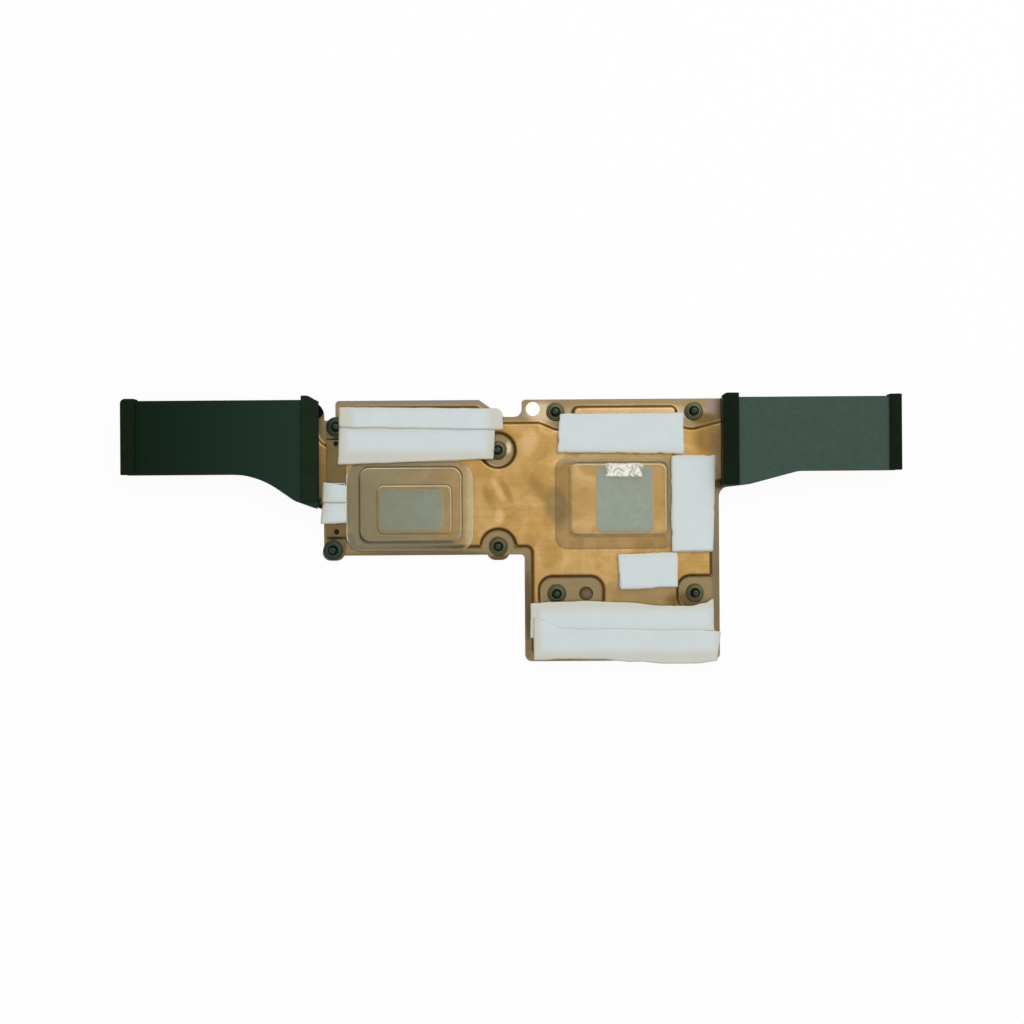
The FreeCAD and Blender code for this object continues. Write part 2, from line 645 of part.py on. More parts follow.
front_hollow = room("front_hollow", "room_inset", SEAM, f"{FRONT} - {SEAM} - plate_gauge")
front_pan = pressed_pan("front_pan", RIM_TOP, "front_rise", 1)
shell("front_shell", SEAM, front_pan, front_hollow, [("dimple_x", "graphics_screw_front", "dimple_radius")])
back_hollow = room("back_hollow", "room_inset", "plate_gauge", f"{SEAM} - plate_gauge")
back_pan = pressed_pan("back_pan", RIM_BOTTOM, "back_depth", -1)
shell("back_shell", RIM_BOTTOM, back_pan, back_hollow, [])

# Wick mesh against the front shell and the columns that hold the shells apart
WICK_FLOOR = f"({FRONT} - plate_gauge - wick_gauge)"
wick = node("wick_mesh", room("wick_mesh", "(room_inset + wick_clear)", WICK_FLOOR, "wick_gauge"))
doc.recompute()

wick_faces = [face for face in wick.Shape.Faces if face.normalAt(0, 0).z > 0.5]
reach = value("column_radius + column_clear")
pitch = value("column_pitch")
level = value(f"{WICK_FLOOR} + wick_gauge")
ring = [(0, 0)] + [(reach * math.cos(k * math.pi / 4), reach * math.sin(k * math.pi / 4)) for k in range(8)]


def under_wick(x, y):
    """Whether a point of the plan has the wick above it."""
    return any(face.isInside(FreeCAD.Vector(x, y, level), 1e-6, True) for face in wick_faces)


across = int(value("arm_end / column_pitch"))
along = int(value("body_top / column_pitch"))
columns = []
for i in range(-across, across + 1):
    for j in range(-along, along + 1):
        if all(under_wick(i * pitch + dx, j * pitch + dy) for dx, dy in ring):
            columns.append(prism(f"column_{len(columns)}", f"{i} * column_pitch", f"{j} * column_pitch",
                                 "plate_gauge", "column_radius", f"{WICK_FLOOR} - plate_gauge",
                                 "column_sides"))
node("support_columns", compound("support_columns", columns))


# Fin banks: C-folded fins side by side, cut to the fan's curve
def fin_bank(label, start, count, plan):
    """A bank of folded fins that starts at an x and is trimmed to a plan outline."""
    body = doc.addObject("PartDesign::Body", f"{label}_body")
    body.AllowCompound = True
    pads = []
    fold = f"{start} + fin_pitch - fin_slit"
    web = f"{start} + fin_gauge"
    close = f"{start} + {count} * fin_pitch"
    low = FRONT
    high = FIN_TOP
    inner_low = f"{FRONT} + fin_gauge"
    inner_high = f"{FIN_TOP} - fin_gauge"
    profiles = {
        "fold": [(start, high, "0"), (fold, high, "0"), (fold, inner_high, "0"), (web, inner_high, "0"),
                 (web, inner_low, "0"), (fold, inner_low, "0"), (fold, low, "0"), (start, low, "0")],
        "end": [(close, high, "0"), (f"{close} + fin_gauge", high, "0"),
                (f"{close} + fin_gauge", low, "0"), (close, low, "0")],
    }
    for name, corners in profiles.items():
        sketch = body_sketch(body, f"{label}_{name}_profile", corners, "XZ_Plane")
        doc.recompute()
        pad = body.newObject("PartDesign::Pad", f"{label}_{name}")
        pad.Profile = sketch
        pad.Midplane = True
        bind(pad, Length="2 * body_top")
        pads.append(pad)
        if name == "fold":
            doc.recompute()
            row = body.newObject("PartDesign::LinearPattern", f"{label}_row")
            row.Originals = [pad]
            row.Direction = (sketch, ["H_Axis"])
            bind(row, Length=f"fin_pitch * ({count} - 1)", Occurrences=count)
            body.Tip = row
            doc.recompute()
    body.Tip = pads[-1]
    doc.recompute()
    envelope = extrude(f"{label}_envelope", new_sketch(f"{label}_plan", plan), "fin_height", FRONT)
    return node(label, common(label, body, envelope))


left_root = f"left_arm_root + (flank_left - {LEFT_BANK_END}) * (left_flare_front - left_arm_root)"
left_root += f" / (flank_left - {LEFT_FLARE_END})"
fin_bank("left_fins", "-arm_end", "left_fin_count", [
    ("-arm_end", "body_top", "0"),
    (LEFT_BANK_END, "body_top", "shoulder_radius"),
    (LEFT_BANK_END, left_root, "0"),
    (LEFT_FLARE_END, "left_flare_front", "left_ease_radius"),
    (LEFT_FLARE_START, "arm_front", "left_flare_radius"),
    ("-arm_end", "arm_front", "0"),
])
fin_bank("right_fins", RIGHT_BANK_END, "right_fin_count", [
    (RIGHT_BANK_END, "body_top", "0"),
    ("arm_end", "body_top", "0"),
    ("arm_end", "arm_front", "0"),
    (RIGHT_FLARE_START, "arm_front", "right_flare_radius"),
    (RIGHT_FLARE_END, "right_flare_front", "right_flare_radius"),
    (RIGHT_BANK_END, "right_arm_root", "0"),
])

# A black film over each bank, and foam strips across its ends, folded down over the outlet edge
COVER_TOP = f"({FIN_TOP} + cover_gauge)"
SEAL_TOP = f"({COVER_TOP} + seal_gauge)"
BACK = "(body_top - cover_inset)"
FACE = "(arm_front + cover_inset)"
covers = {
    "left_fin_cover": [
        ("-arm_end + cover_inset", BACK, "0"),
        (f"{LEFT_BANK_END} - cover_inset", BACK, "shoulder_radius"),
        (f"{LEFT_BANK_END} - cover_inset", f"{left_root} + cover_inset", "0"),
        (LEFT_FLARE_END, "left_flare_front + cover_inset", "left_ease_radius"),
        (LEFT_FLARE_START, FACE, "left_flare_radius"),
        ("-arm_end + cover_inset", FACE, "0"),
    ],
    "right_fin_cover": [
        (f"{RIGHT_BANK_END} + cover_inset", BACK, "0"),
        ("arm_end - cover_inset", BACK, "0"),
        ("arm_end - cover_inset", FACE, "0"),
        (RIGHT_FLARE_START, FACE, "right_flare_radius"),
        (RIGHT_FLARE_END, "right_flare_front + cover_inset", "right_flare_radius"),
        (f"{RIGHT_BANK_END} + cover_inset", "right_arm_root + cover_inset", "0"),
    ],
}
for label, corners in covers.items():
    node(label, extrude(label, new_sketch(f"{label}_outline", corners), "cover_gauge", FIN_TOP))

ON_EDGE = FreeCAD.Rotation(FreeCAD.Vector(1, 1, 1), 120)


def seal(label, left, width, front, leg, left_corner, right_corner):
    """A foam strip from the fan's side to the outlet, where it folds down by a leg."""
    rear = f"body_top + {leg}"
    profile = new_sketch(f"{label}_profile", [
        (front, SEAL_TOP, "0"),
        (rear, SEAL_TOP, "0"),
        (rear, "seal_foot", "0"),
        ("body_top", "seal_foot", "0"),
        ("body_top", COVER_TOP, "0"),
        (front, COVER_TOP, "0"),
    ], ON_EDGE)
    strip = extrude(f"{label}_strip", profile, width, direction=(1, 0, 0))
    move(strip, left)
    right = f"{left} + {width}"
    plan = new_sketch(f"{label}_plan", [
        (left, rear, left_corner),
        (right, rear, right_corner),
        (right, front, "0"),
        (left, front, "0"),
    ])
    return node(label, common(label, strip, extrude(f"{label}_block", plan, SEAL_TOP)))


seal("left_outer_seal", "-arm_end - seal_lap", "left_outer_seal_width", "arm_front", "outer_seal_leg",
     "seal_bevel", "0")
seal("left_inner_seal", f"{LEFT_BANK_END} - left_inner_seal_width", "left_inner_seal_width",
     "left_flare_front", "inner_seal_leg", "0", "seal_corner")
seal("right_inner_seal", RIGHT_BANK_END, "right_inner_seal_width", "right_flare_front", "inner_seal_leg",
     "seal_bevel", "0")
seal("right_outer_seal", "arm_end + seal_lap - right_outer_seal_width", "right_outer_seal_width",
     "arm_front", "outer_seal_leg", "0", "0")

# Bracket strip, joggled down to its ears
rear_bend = f"ear_rear_y - {EAR_FLAT}"
front_bend = f"ear_front_y + {EAR_FLAT}"
rear_tip = "ear_rear_y + strip_width / 2"
front_tip = "ear_front_y - ear_radius"
bracket_side = new_sketch("bracket_side", [
    (front_tip, EAR_TOP, "0"),
    (f"{front_bend} - joggle_run", EAR_TOP, "0"),
    (front_bend, STRIP_TOP, "0"),
    (rear_bend, STRIP_TOP, "0"),
    (f"{rear_bend} + joggle_run", EAR_TOP, "0"),
    (rear_tip, EAR_TOP, "0"),
    (rear_tip, RIM_TOP, "0"),
    (f"{rear_bend} + joggle_run", RIM_TOP, "0"),
    (rear_bend, FRONT, "0"),
    (front_bend, FRONT, "0"),
    (f"{front_bend} - joggle_run", RIM_TOP, "0"),
    (front_tip, RIM_TOP, "0"),
], ON_EDGE)
bracket_plan = new_sketch("bracket_plan", [
    ("strip_left", rear_tip, "strip_end_radius"),
    ("strip_left + strip_width", rear_tip, "strip_end_radius"),
    ("strip_left + strip_width", "ear_front_y + ear_radius", "corner_radius"),
    ("ear_front_x + ear_radius", front_tip, "ear_corner"),
    ("ear_front_x - ear_radius", front_tip, "ear_corner"),
    ("ear_front_x - ear_radius", "ear_front_y", "corner_radius"),
    ("strip_left", "ear_front_y + ear_radius", "corner_radius"),
])
bracket_bar = extrude("bracket_bar", bracket_side, "2 * strip_width", direction=(1, 0, 0))
move(bracket_bar, "strip_left - strip_width / 2")
bracket_block = extrude("bracket_block", bracket_plan, STRIP_TOP)
bracket_holes = [prism(f"ear_hole_{i}", x, y, RIM_TOP, "screw_hole_radius", "bracket_gauge")
                 for i, (x, y) in enumerate(BRACKET_SCREWS)]
for y in ("peg_hole_rear", "peg_hole_front"):
    bracket_holes.append(prism(y + "_tool", "strip_left + strip_width / 2", y, RIM_TOP, "peg_hole_radius",
                               f"{STRIP_TOP} - {RIM_TOP}"))
node("bracket", cut("bracket", common("bracket_bent", bracket_bar, bracket_block),
                    compound("bracket_holes", bracket_holes)))


def captive_screws(screws, retainers, seat, places, ring_radius="retainer_radius"):
    """Screws from behind the rim, each kept by a ring pressed on above a level."""
    ring_top = f"{seat} + retainer_height"
    pins = []
    rings = []
    for i, (x, y) in enumerate(places):
        head = prism(f"{screws}_head_{i}", x, y, f"{RIM_BOTTOM} - head_height", "head_radius", "head_height")
        neck = prism(f"{screws}_neck_{i}", x, y, RIM_BOTTOM, "thread_radius", f"{ring_top} - {RIM_BOTTOM}")
        thread = cylinder(f"{screws}_thread_{i}", x, y, ring_top, "thread_radius", "thread_length")
        pins.append(fuse(f"{screws}_{i}", [head, neck, thread]))
        disc = prism(f"{retainers}_disc_{i}", x, y, seat, ring_radius, "retainer_height")
        eye = prism(f"{retainers}_eye_{i}", x, y, seat, "thread_radius", "retainer_height")
        rings.append(cut(f"{retainers}_{i}", disc, eye))
    node(screws, compound(screws, pins))
    node(retainers, compound(retainers, rings))


captive_screws("graphics_screws", "graphics_retainers", RIM_TOP, GRAPHICS_SCREWS)
captive_screws("processor_screws", "processor_retainers", RIM_TOP, PROCESSOR_SCREWS)
captive_screws("bracket_screws", "bracket_retainers", EAR_TOP, BRACKET_SCREWS, "ear_ring_radius")


# Printed paste under clear covers formed up in steps
def named_box(name, radius="0"):
    """Corners of a rectangle whose sizes all carry one name."""
    return box_corners(f"{name}_left", f"{name}_front", f"{name}_width", f"{name}_depth", radius)


def slab(label, name, z, gauge):
    """A flat rectangular piece whose sizes all carry one name."""
    box = doc.addObject("Part::Box", label)
    bind(box, Length=f"{name}_width", Width=f"{name}_depth", Height=gauge)
    return node(label, move(box, f"{name}_left", f"{name}_front", z))


def film_cover(label, steps):
    """A clear film with rounded corners, formed up in steps of (name, rise)."""
    outline = new_sketch(f"{label}_outline", named_box(label, "film_corner"))
    raised = []
    hollow = []
    floor = f"{FRONT} + film_gauge"
    for step, rise in steps:
        form = drafted(f"{label}_{step}", named_box(step), rise, floor, "film_run")
        raised.append(form)
        hollow.append(moved_copy(f"{label}_{step}_inside", form, "-film_gauge"))
        floor = f"{floor} + {rise}"
    blank = fuse(f"{label}_blank", [extrude(f"{label}_flat", outline, "film_gauge", FRONT)] + raised)
    core = hollow[0] if len(hollow) == 1 else fuse(f"{label}_core", hollow)
    return node(label, cut(label, blank, core))


slab("processor_paste", "processor_paste", FRONT, "paste_gauge")
slab("graphics_paste", "graphics_paste", FRONT, "paste_gauge")
film_cover("processor_film", [("low_step", "low_step_rise"), ("high_step", "high_step_rise")])
film_cover("graphics_film", [("wide_step", "wide_step_rise")])

# Soft pads with their release liners
for pad, level_name, *_, layer in PADS:
    level, gauge = (FRONT, "pad_gauge") if level_name == "plate" else (STRIP_TOP, "small_pad_gauge")
    slab(pad, pad, level, gauge)
    liner = block(
        f"{pad}_liner",
        f"{pad}_left - {pad}_liner_left",
        f"{pad}_front - {pad}_liner_front",
        f"{pad}_left + {pad}_width + {pad}_liner_right",
        f"{pad}_front + {pad}_depth + liner_lap",
        f"{level} + {gauge} + {layer} * liner_gauge",
        "liner_gauge",
    )
    node(f"{pad}_liner", liner)

doc.recompute()
for thing in doc.Objects:
    if {"Invalid", "Error"} & set(thing.State):
        raise RuntimeError(f"{thing.Name}: {thing.State}")
for thing in NODES:
    if thing.Shape.isNull() or not thing.Shape.isValid() or not thing.Shape.Solids:
        raise RuntimeError(f"{thing.Label}: no valid solid")

os.makedirs("parts", exist_ok=True)
for thing in NODES:
    thing.Shape.exportStep(f"parts/{thing.Label}.step")
    box = thing.Shape.BoundBox
    print(f"{thing.Label}: {len(thing.Shape.Solids)} solids, {thing.Shape.Volume:.1f} mm3, "
          f"x {box.XMin:.2f} {box.XMax:.2f}, y {box.YMin:.2f} {box.YMax:.2f}, z {box.ZMin:.2f} {box.ZMax:.2f}")
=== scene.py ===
"""Dresses a laptop heatsink: a formed copper vapour chamber with two folded-fin banks.

Sizes are millimetres in the fields below and metres in Blender, in the frame of the solids.
"""

import logging
import math
from dataclasses import dataclass
from enum import Enum
from typing import Any, Iterable, Mapping, Sequence

import bmesh
import bpy
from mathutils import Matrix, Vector, noise


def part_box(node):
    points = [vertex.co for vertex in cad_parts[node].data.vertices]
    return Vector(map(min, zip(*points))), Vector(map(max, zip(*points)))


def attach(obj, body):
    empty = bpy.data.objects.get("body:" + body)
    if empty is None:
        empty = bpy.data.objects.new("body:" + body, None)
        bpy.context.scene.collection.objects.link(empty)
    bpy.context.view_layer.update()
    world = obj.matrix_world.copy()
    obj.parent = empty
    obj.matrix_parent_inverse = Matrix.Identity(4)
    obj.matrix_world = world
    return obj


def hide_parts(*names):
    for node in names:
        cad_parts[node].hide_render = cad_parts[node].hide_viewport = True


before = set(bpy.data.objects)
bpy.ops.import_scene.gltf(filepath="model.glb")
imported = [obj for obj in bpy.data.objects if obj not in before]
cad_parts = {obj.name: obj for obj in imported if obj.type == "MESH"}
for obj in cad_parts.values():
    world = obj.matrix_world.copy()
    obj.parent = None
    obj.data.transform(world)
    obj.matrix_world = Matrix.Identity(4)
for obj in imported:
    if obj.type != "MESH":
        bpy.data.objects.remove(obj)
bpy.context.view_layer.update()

MM = 0.001
FULL_TURN = 6.28
LOG = logging.getLogger("heatsink")

Point = tuple[float, float]
Colour = tuple[float, float, float, float]
Ring = list[Vector]
Tree = bpy.types.NodeTree
Node = bpy.types.Node
Socket = bpy.types.NodeSocket
Piece = bpy.types.Object


# Materials


def linear(code: str) -> Colour:
    """Turns an sRGB hex code into a linear colour.

    Args:
        code: colour as "#rrggbb".

    Returns:
        Linear red, green and blue with full alpha.
    """
    shares = [int(code[i:i + 2], 16) / 255.0 for i in (1, 3, 5)]
    red, green, blue = [s / 12.92 if s <= 0.04045 else ((s + 0.055) / 1.055) ** 2.4 for s in shares]
    return red, green, blue, 1.0


def add_node(tree: Tree, kind: str, inputs: Mapping[Any, Any] | None = None, **settings: Any) -> Node:
    """Adds one node with its settings and links.

    Args:
        tree: node tree that takes the node.
        kind: Blender's type name of the node.
        inputs: value or output socket for each input, by name or place.
        **settings: attributes of the node itself.

    Returns:
        The new node.
    """
    made = tree.nodes.new(kind)
    for name, value in settings.items():
        setattr(made, name, value)
    for key, value in (inputs or {}).items():
        if isinstance(value, Socket):
            tree.links.new(value, made.inputs[key])
        else:
            made.inputs[key].default_value = value
    return made


@dataclass(frozen=True)
class Mark:
    """A soft patch with a blurred edge: on copper a discoloured patch, painted shade or a painted highlight,
    on film a painted glare patch.

    Attributes:
        at: centre in mm.
        reach: half length and half width in mm.
        turn: direction of its length in degrees.
        tone: its colour.
        share: how much of the surface it covers, up to 1.
        core: part of the reach that is full strength.
        level: height in mm that it is kept to, or None for any.
    """

    at: Point
    reach: Point
    turn: float
    tone: str
    share: float
    core: float = 0.3
    level: float | None = None


@dataclass(frozen=True)
class Finish:
    """A surface finish that shades itself.

    Attributes:
        name: name of the material.
        slot: material slot of the record.
        tone: main colour.
        rough: mean roughness.
        metal: 1 for bare metal.
    """

    name: str
    slot: str
    tone: str
    rough: float
    metal: float = 0.0

    def material(self) -> bpy.types.Material:
        """Builds the material the first time and returns it.

        Returns:
            The finish as a node material.
        """
        known = bpy.data.materials.get(self.name)
        if known is not None:
            return known
        made = bpy.data.materials.new(self.name)
        made.use_nodes = True
        tree = made.node_tree
        shader = tree.nodes["Principled BSDF"]
        shader.inputs["Metallic"].default_value = self.metal
        place = add_node(tree, "ShaderNodeTexCoord")
        self.shade(tree, shader, place)
        return made

    def shade(self, tree: Tree, shader: Node, place: Node) -> None:
        """Adds the nodes of a plain surface with a slight change of tone and gloss.

        Args:
            tree: node tree of the material.
            shader: its principled shader.
            place: its texture coordinates.
        """
        self.mottle(tree, shader, place, scale=1 / (3 * MM), change=0.10, uneven=0.06, bump=0.0)

    def mottle(self, tree: Tree, shader: Node, place: Node, scale: float, change: float, uneven: float,
               bump: float) -> None:
        """Varies colour, roughness and height with one noise.

        Args:
            tree: node tree of the material.
            shader: its principled shader.
            place: its texture coordinates.
            scale: noise cells to a metre.
            change: how far the colour goes darker and lighter.
            uneven: how far the roughness goes up and down.
            bump: depth of the grain in mm.
        """
        grain = add_node(tree, "ShaderNodeTexNoise",
                         {"Vector": place.outputs["Object"], "Scale": scale, "Detail": 4.0, "Roughness": 0.6})
        value = grain.outputs["Fac"]
        light = add_node(tree, "ShaderNodeMapRange", {"Value": value, "From Min": 0.3, "From Max": 0.7,
                                                      "To Min": 1 - change, "To Max": 1 + change})
        tinted = add_node(tree, "ShaderNodeMix", {0: 1.0, 6: linear(self.tone), 7: light.outputs[0]},
                          data_type="RGBA", blend_type="MULTIPLY")
        tree.links.new(tinted.outputs[2], shader.inputs["Base Color"])
        gloss = add_node(tree, "ShaderNodeMapRange", {"Value": value, "From Min": 0.3, "From Max": 0.7,
                                                      "To Min": self.rough - uneven,
                                                      "To Max": self.rough + uneven})
        tree.links.new(gloss.outputs[0], shader.inputs["Roughness"])
        if bump:
            relief = add_node(tree, "ShaderNodeBump", {"Height": value, "Strength": 1.0,
                                                       "Distance": bump * MM})
            tree.links.new(relief.outputs[0], shader.inputs["Normal"])


@dataclass(frozen=True)
class BrushedCopper(Finish):
    """Bare copper sheet, deep drawn and brushed along its length, with soft tarnish.

    Attributes:
        pale: colour of the freshly rubbed patches.
        dull: colour of the tarnish.
        rim: colour of the pressed rim, rubbed less.
        wall: colour of the painted shade on the drawn walls.
        rim_top: height in mm at which the rim ends and the walls begin.
        marks: discoloured patches and patches of painted light and shade on this piece.
        hairline: width of a brushed line in mm.
        stroke: length of a brushed line in mm.
    """

    pale: str = "#ddb87e"
    dull: str = "#9f7b46"
    rim: str = "#8a7c5e"
    wall: str = "#654a26"
    rim_top: float = 2.05
    marks: tuple[Mark, ...] = ()
    # Real brushing leaves lines of about 0.05 mm; they are drawn coarser here, so that they show
    hairline: float = 0.5
    stroke: float = 24.0

    def shade(self, tree: Tree, shader: Node, place: Node) -> None:
        """Adds tarnish, hairlines, rim, painted shade on the walls, and the marks.

        Args:
            tree: node tree of the material.
            shader: its principled shader.
            place: its texture coordinates.
        """
        spot = place.outputs["Object"]
        cloud = add_node(tree, "ShaderNodeTexNoise", {"Vector": spot, "Scale": 1 / (11 * MM), "Detail": 3.0,
                                                      "Roughness": 0.5, "Distortion": 1.2})
        haze = add_node(tree, "ShaderNodeTexNoise", {"Vector": spot, "Scale": 1 / (5 * MM), "Detail": 5.0,
                                                     "Roughness": 0.65})
        fine = (1 / (self.stroke * MM), 1 / (self.hairline * MM), 200.0)
        run = add_node(tree, "ShaderNodeMapping", {"Vector": spot, "Scale": fine})
        hair = add_node(tree, "ShaderNodeTexNoise", {"Vector": run.outputs[0], "Scale": 1.0, "Detail": 3.0,
                                                     "Roughness": 0.7})
        rubbed = add_node(tree, "ShaderNodeMapRange", {"Value": cloud.outputs["Fac"], "From Min": 0.42,
                                                       "From Max": 0.66, "To Max": 0.9})
        tarnished = add_node(tree, "ShaderNodeMapRange", {"Value": haze.outputs["Fac"], "From Min": 0.46,
                                                          "From Max": 0.74, "To Max": 0.55})
        tone = add_node(tree, "ShaderNodeMix", {0: rubbed.outputs[0], 6: linear(self.tone),
                                                7: linear(self.pale)}, data_type="RGBA").outputs[2]
        tone = add_node(tree, "ShaderNodeMix", {0: tarnished.outputs[0], 6: tone, 7: linear(self.dull)},
                        data_type="RGBA").outputs[2]
        axes = add_node(tree, "ShaderNodeSeparateXYZ", {0: spot})
        low = add_node(tree, "ShaderNodeMapRange", {"Value": axes.outputs["Z"], "From Min": self.rim_top * MM,
                                                    "From Max": (self.rim_top + 0.25) * MM,
                                                    "To Min": 0.85, "To Max": 0.0})
        tone = add_node(tree, "ShaderNodeMix", {0: low.outputs[0], 6: tone, 7: linear(self.rim)},
                        data_type="RGBA").outputs[2]
        # Marks lay discoloured patches, painted shade and painted highlights over the tone
        for mark in self.marks:
            tone = self.stain_and_light(tree, spot, haze.outputs["Fac"], tone, mark)
        # Painted shade on the drawn walls: the steeper the face, the more of the wall colour
        facing = add_node(tree, "ShaderNodeSeparateXYZ", {0: place.outputs["Normal"]})
        steep = add_node(tree, "ShaderNodeMath", {0: facing.outputs["Z"]}, operation="ABSOLUTE")
        drawn = add_node(tree, "ShaderNodeMapRange", {"Value": steep.outputs[0], "From Min": 0.88,
                                                      "From Max": 0.998, "To Min": 0.92, "To Max": 0.0})
        tone = add_node(tree, "ShaderNodeMix", {0: drawn.outputs[0], 6: tone, 7: linear(self.wall)},
                        data_type="RGBA").outputs[2]
        lines = add_node(tree, "ShaderNodeMapRange", {"Value": hair.outputs["Fac"], "From Min": 0.25,
                                                      "From Max": 0.75, "To Min": 0.90, "To Max": 1.07})
        tone = add_node(tree, "ShaderNodeMix", {0: 1.0, 6: tone, 7: lines.outputs[0]},
                        data_type="RGBA", blend_type="MULTIPLY").outputs[2]
        tree.links.new(tone, shader.inputs["Base Color"])
        gloss = add_node(tree, "ShaderNodeMath", {0: hair.outputs["Fac"], 1: 0.10, 2: self.rough - 0.05},
                         operation="MULTIPLY_ADD")
        gloss = add_node(tree, "ShaderNodeMath", {0: tarnished.outputs[0], 1: 0.12, 2: gloss.outputs[0]},
                         operation="MULTIPLY_ADD")
        tree.links.new(gloss.outputs[0], shader.inputs["Roughness"])
        relief = add_node(tree, "ShaderNodeBump", {"Height": hair.outputs["Fac"], "Strength": 0.5,
                                                   "Distance": 0.02 * MM})
        tree.links.new(relief.outputs[0], shader.inputs["Normal"])

    def stain_and_light(self, tree: Tree, spot: Socket, ragged: Socket, tone: Socket, mark: Mark) -> Socket:
        """Lays one mark over a colour: a discoloured patch, painted shade or a painted highlight.

        Args:
            tree: node tree of the material.
            spot: position on the piece.
            ragged: noise that frays the mark's edge.
            tone: colour under the stain.
            mark: the mark.

        Returns:
            Socket of the marked colour.
        """
        level, tall = (0.0, 1e6) if mark.level is None else (mark.level, 0.25)
        local = add_node(tree, "ShaderNodeMapping",
                         {"Vector": spot, "Location": (mark.at[0] * MM, mark.at[1] * MM, level * MM),
                          "Rotation": (0.0, 0.0, math.radians(mark.turn)),
                          "Scale": (mark.reach[0] * MM, mark.reach[1] * MM, tall * MM)},
                         vector_type="TEXTURE")
        far = add_node(tree, "ShaderNodeVectorMath", {0: local.outputs[0]}, operation="LENGTH")
        fray = add_node(tree, "ShaderNodeMath", {0: ragged, 1: 0.5, 2: -0.25}, operation="MULTIPLY_ADD")
        edge = add_node(tree, "ShaderNodeMath", {0: far.outputs["Value"], 1: fray.outputs[0]},
                        operation="ADD")
        share = add_node(tree, "ShaderNodeMapRange", {"Value": edge.outputs[0], "From Min": mark.core,
                                                      "From Max": 1.0, "To Min": mark.share, "To Max": 0.0},
                         interpolation_type="SMOOTHSTEP")
        return add_node(tree, "ShaderNodeMix", {0: share.outputs[0], 6: tone, 7: linear(mark.tone)},
                        data_type="RGBA").outputs[2]


@dataclass(frozen=True)
class WovenMesh(Finish):
    """Fine copper wire cloth, plain weave, sintered to the inside of the chamber.

    Attributes:
        pitch: distance between wires in mm.
    """

    # A real wick is woven at about 0.12 mm; it is drawn coarser here, so that the weave shows
    pitch: float = 0.25

    def shade(self, tree: Tree, shader: Node, place: Node) -> None:
        """Adds the two sets of wires.

        Args:
            tree: node tree of the material.
            shader: its principled shader.
            place: its texture coordinates.
        """
        waves = [add_node(tree, "ShaderNodeTexWave", {"Vector": place.outputs["Object"],
                                                      "Scale": 1 / (self.pitch * MM) / 20 * math.pi},
                          bands_direction=axis) for axis in ("X", "Y")]
        cloth = add_node(tree, "ShaderNodeMath", {0: waves[0].outputs["Fac"], 1: waves[1].outputs["Fac"]},
                         operation="MAXIMUM")
        light = add_node(tree, "ShaderNodeMapRange", {"Value": cloth.outputs[0], "To Min": 0.45,
                                                      "To Max": 1.05})
        tone = add_node(tree, "ShaderNodeMix", {0: 1.0, 6: linear(self.tone), 7: light.outputs[0]},
                        data_type="RGBA", blend_type="MULTIPLY")
        tree.links.new(tone.outputs[2], shader.inputs["Base Color"])
        shader.inputs["Roughness"].default_value = self.rough
        relief = add_node(tree, "ShaderNodeBump", {"Height": cloth.outputs[0], "Strength": 1.0,
                                                   "Distance": 0.06 * MM})
        tree.links.new(relief.outputs[0], shader.inputs["Normal"])


@dataclass(frozen=True)
class Foam(Finish):
    """Charcoal polyurethane foam tape with open pores.

    Attributes:
        pore: width of a pore in mm.
    """

    # Real pores are about 0.2 mm wide; they are drawn coarser here, so that they show
    pore: float = 0.45

    def shade(self, tree: Tree, shader: Node, place: Node) -> None:
        """Adds the pores and a slow change of tone.

        Args:
            tree: node tree of the material.
            shader: its principled shader.
            place: its texture coordinates.
        """
        spot = place.outputs["Object"]
        cells = add_node(tree, "ShaderNodeTexVoronoi", {"Vector": spot, "Scale": 1 / (self.pore * MM)})
        worn = add_node(tree, "ShaderNodeTexNoise", {"Vector": spot, "Scale": 1 / (4 * MM), "Detail": 3.0})
        both = add_node(tree, "ShaderNodeMath", {0: cells.outputs["Distance"], 1: worn.outputs["Fac"]},
                        operation="MULTIPLY")
        light = add_node(tree, "ShaderNodeMapRange", {"Value": both.outputs[0], "From Max": 0.45,
                                                      "To Min": 0.8, "To Max": 1.25})
        tone = add_node(tree, "ShaderNodeMix", {0: 1.0, 6: linear(self.tone), 7: light.outputs[0]},
                        data_type="RGBA", blend_type="MULTIPLY")
        tree.links.new(tone.outputs[2], shader.inputs["Base Color"])
        shader.inputs["Roughness"].default_value = self.rough
        shader.inputs["Specular IOR Level"].default_value = 0.08
        relief = add_node(tree, "ShaderNodeBump", {"Height": cells.outputs["Distance"], "Strength": 0.8,
                                                   "Distance": 0.12 * MM})
        tree.links.new(relief.outputs[0], shader.inputs["Normal"])


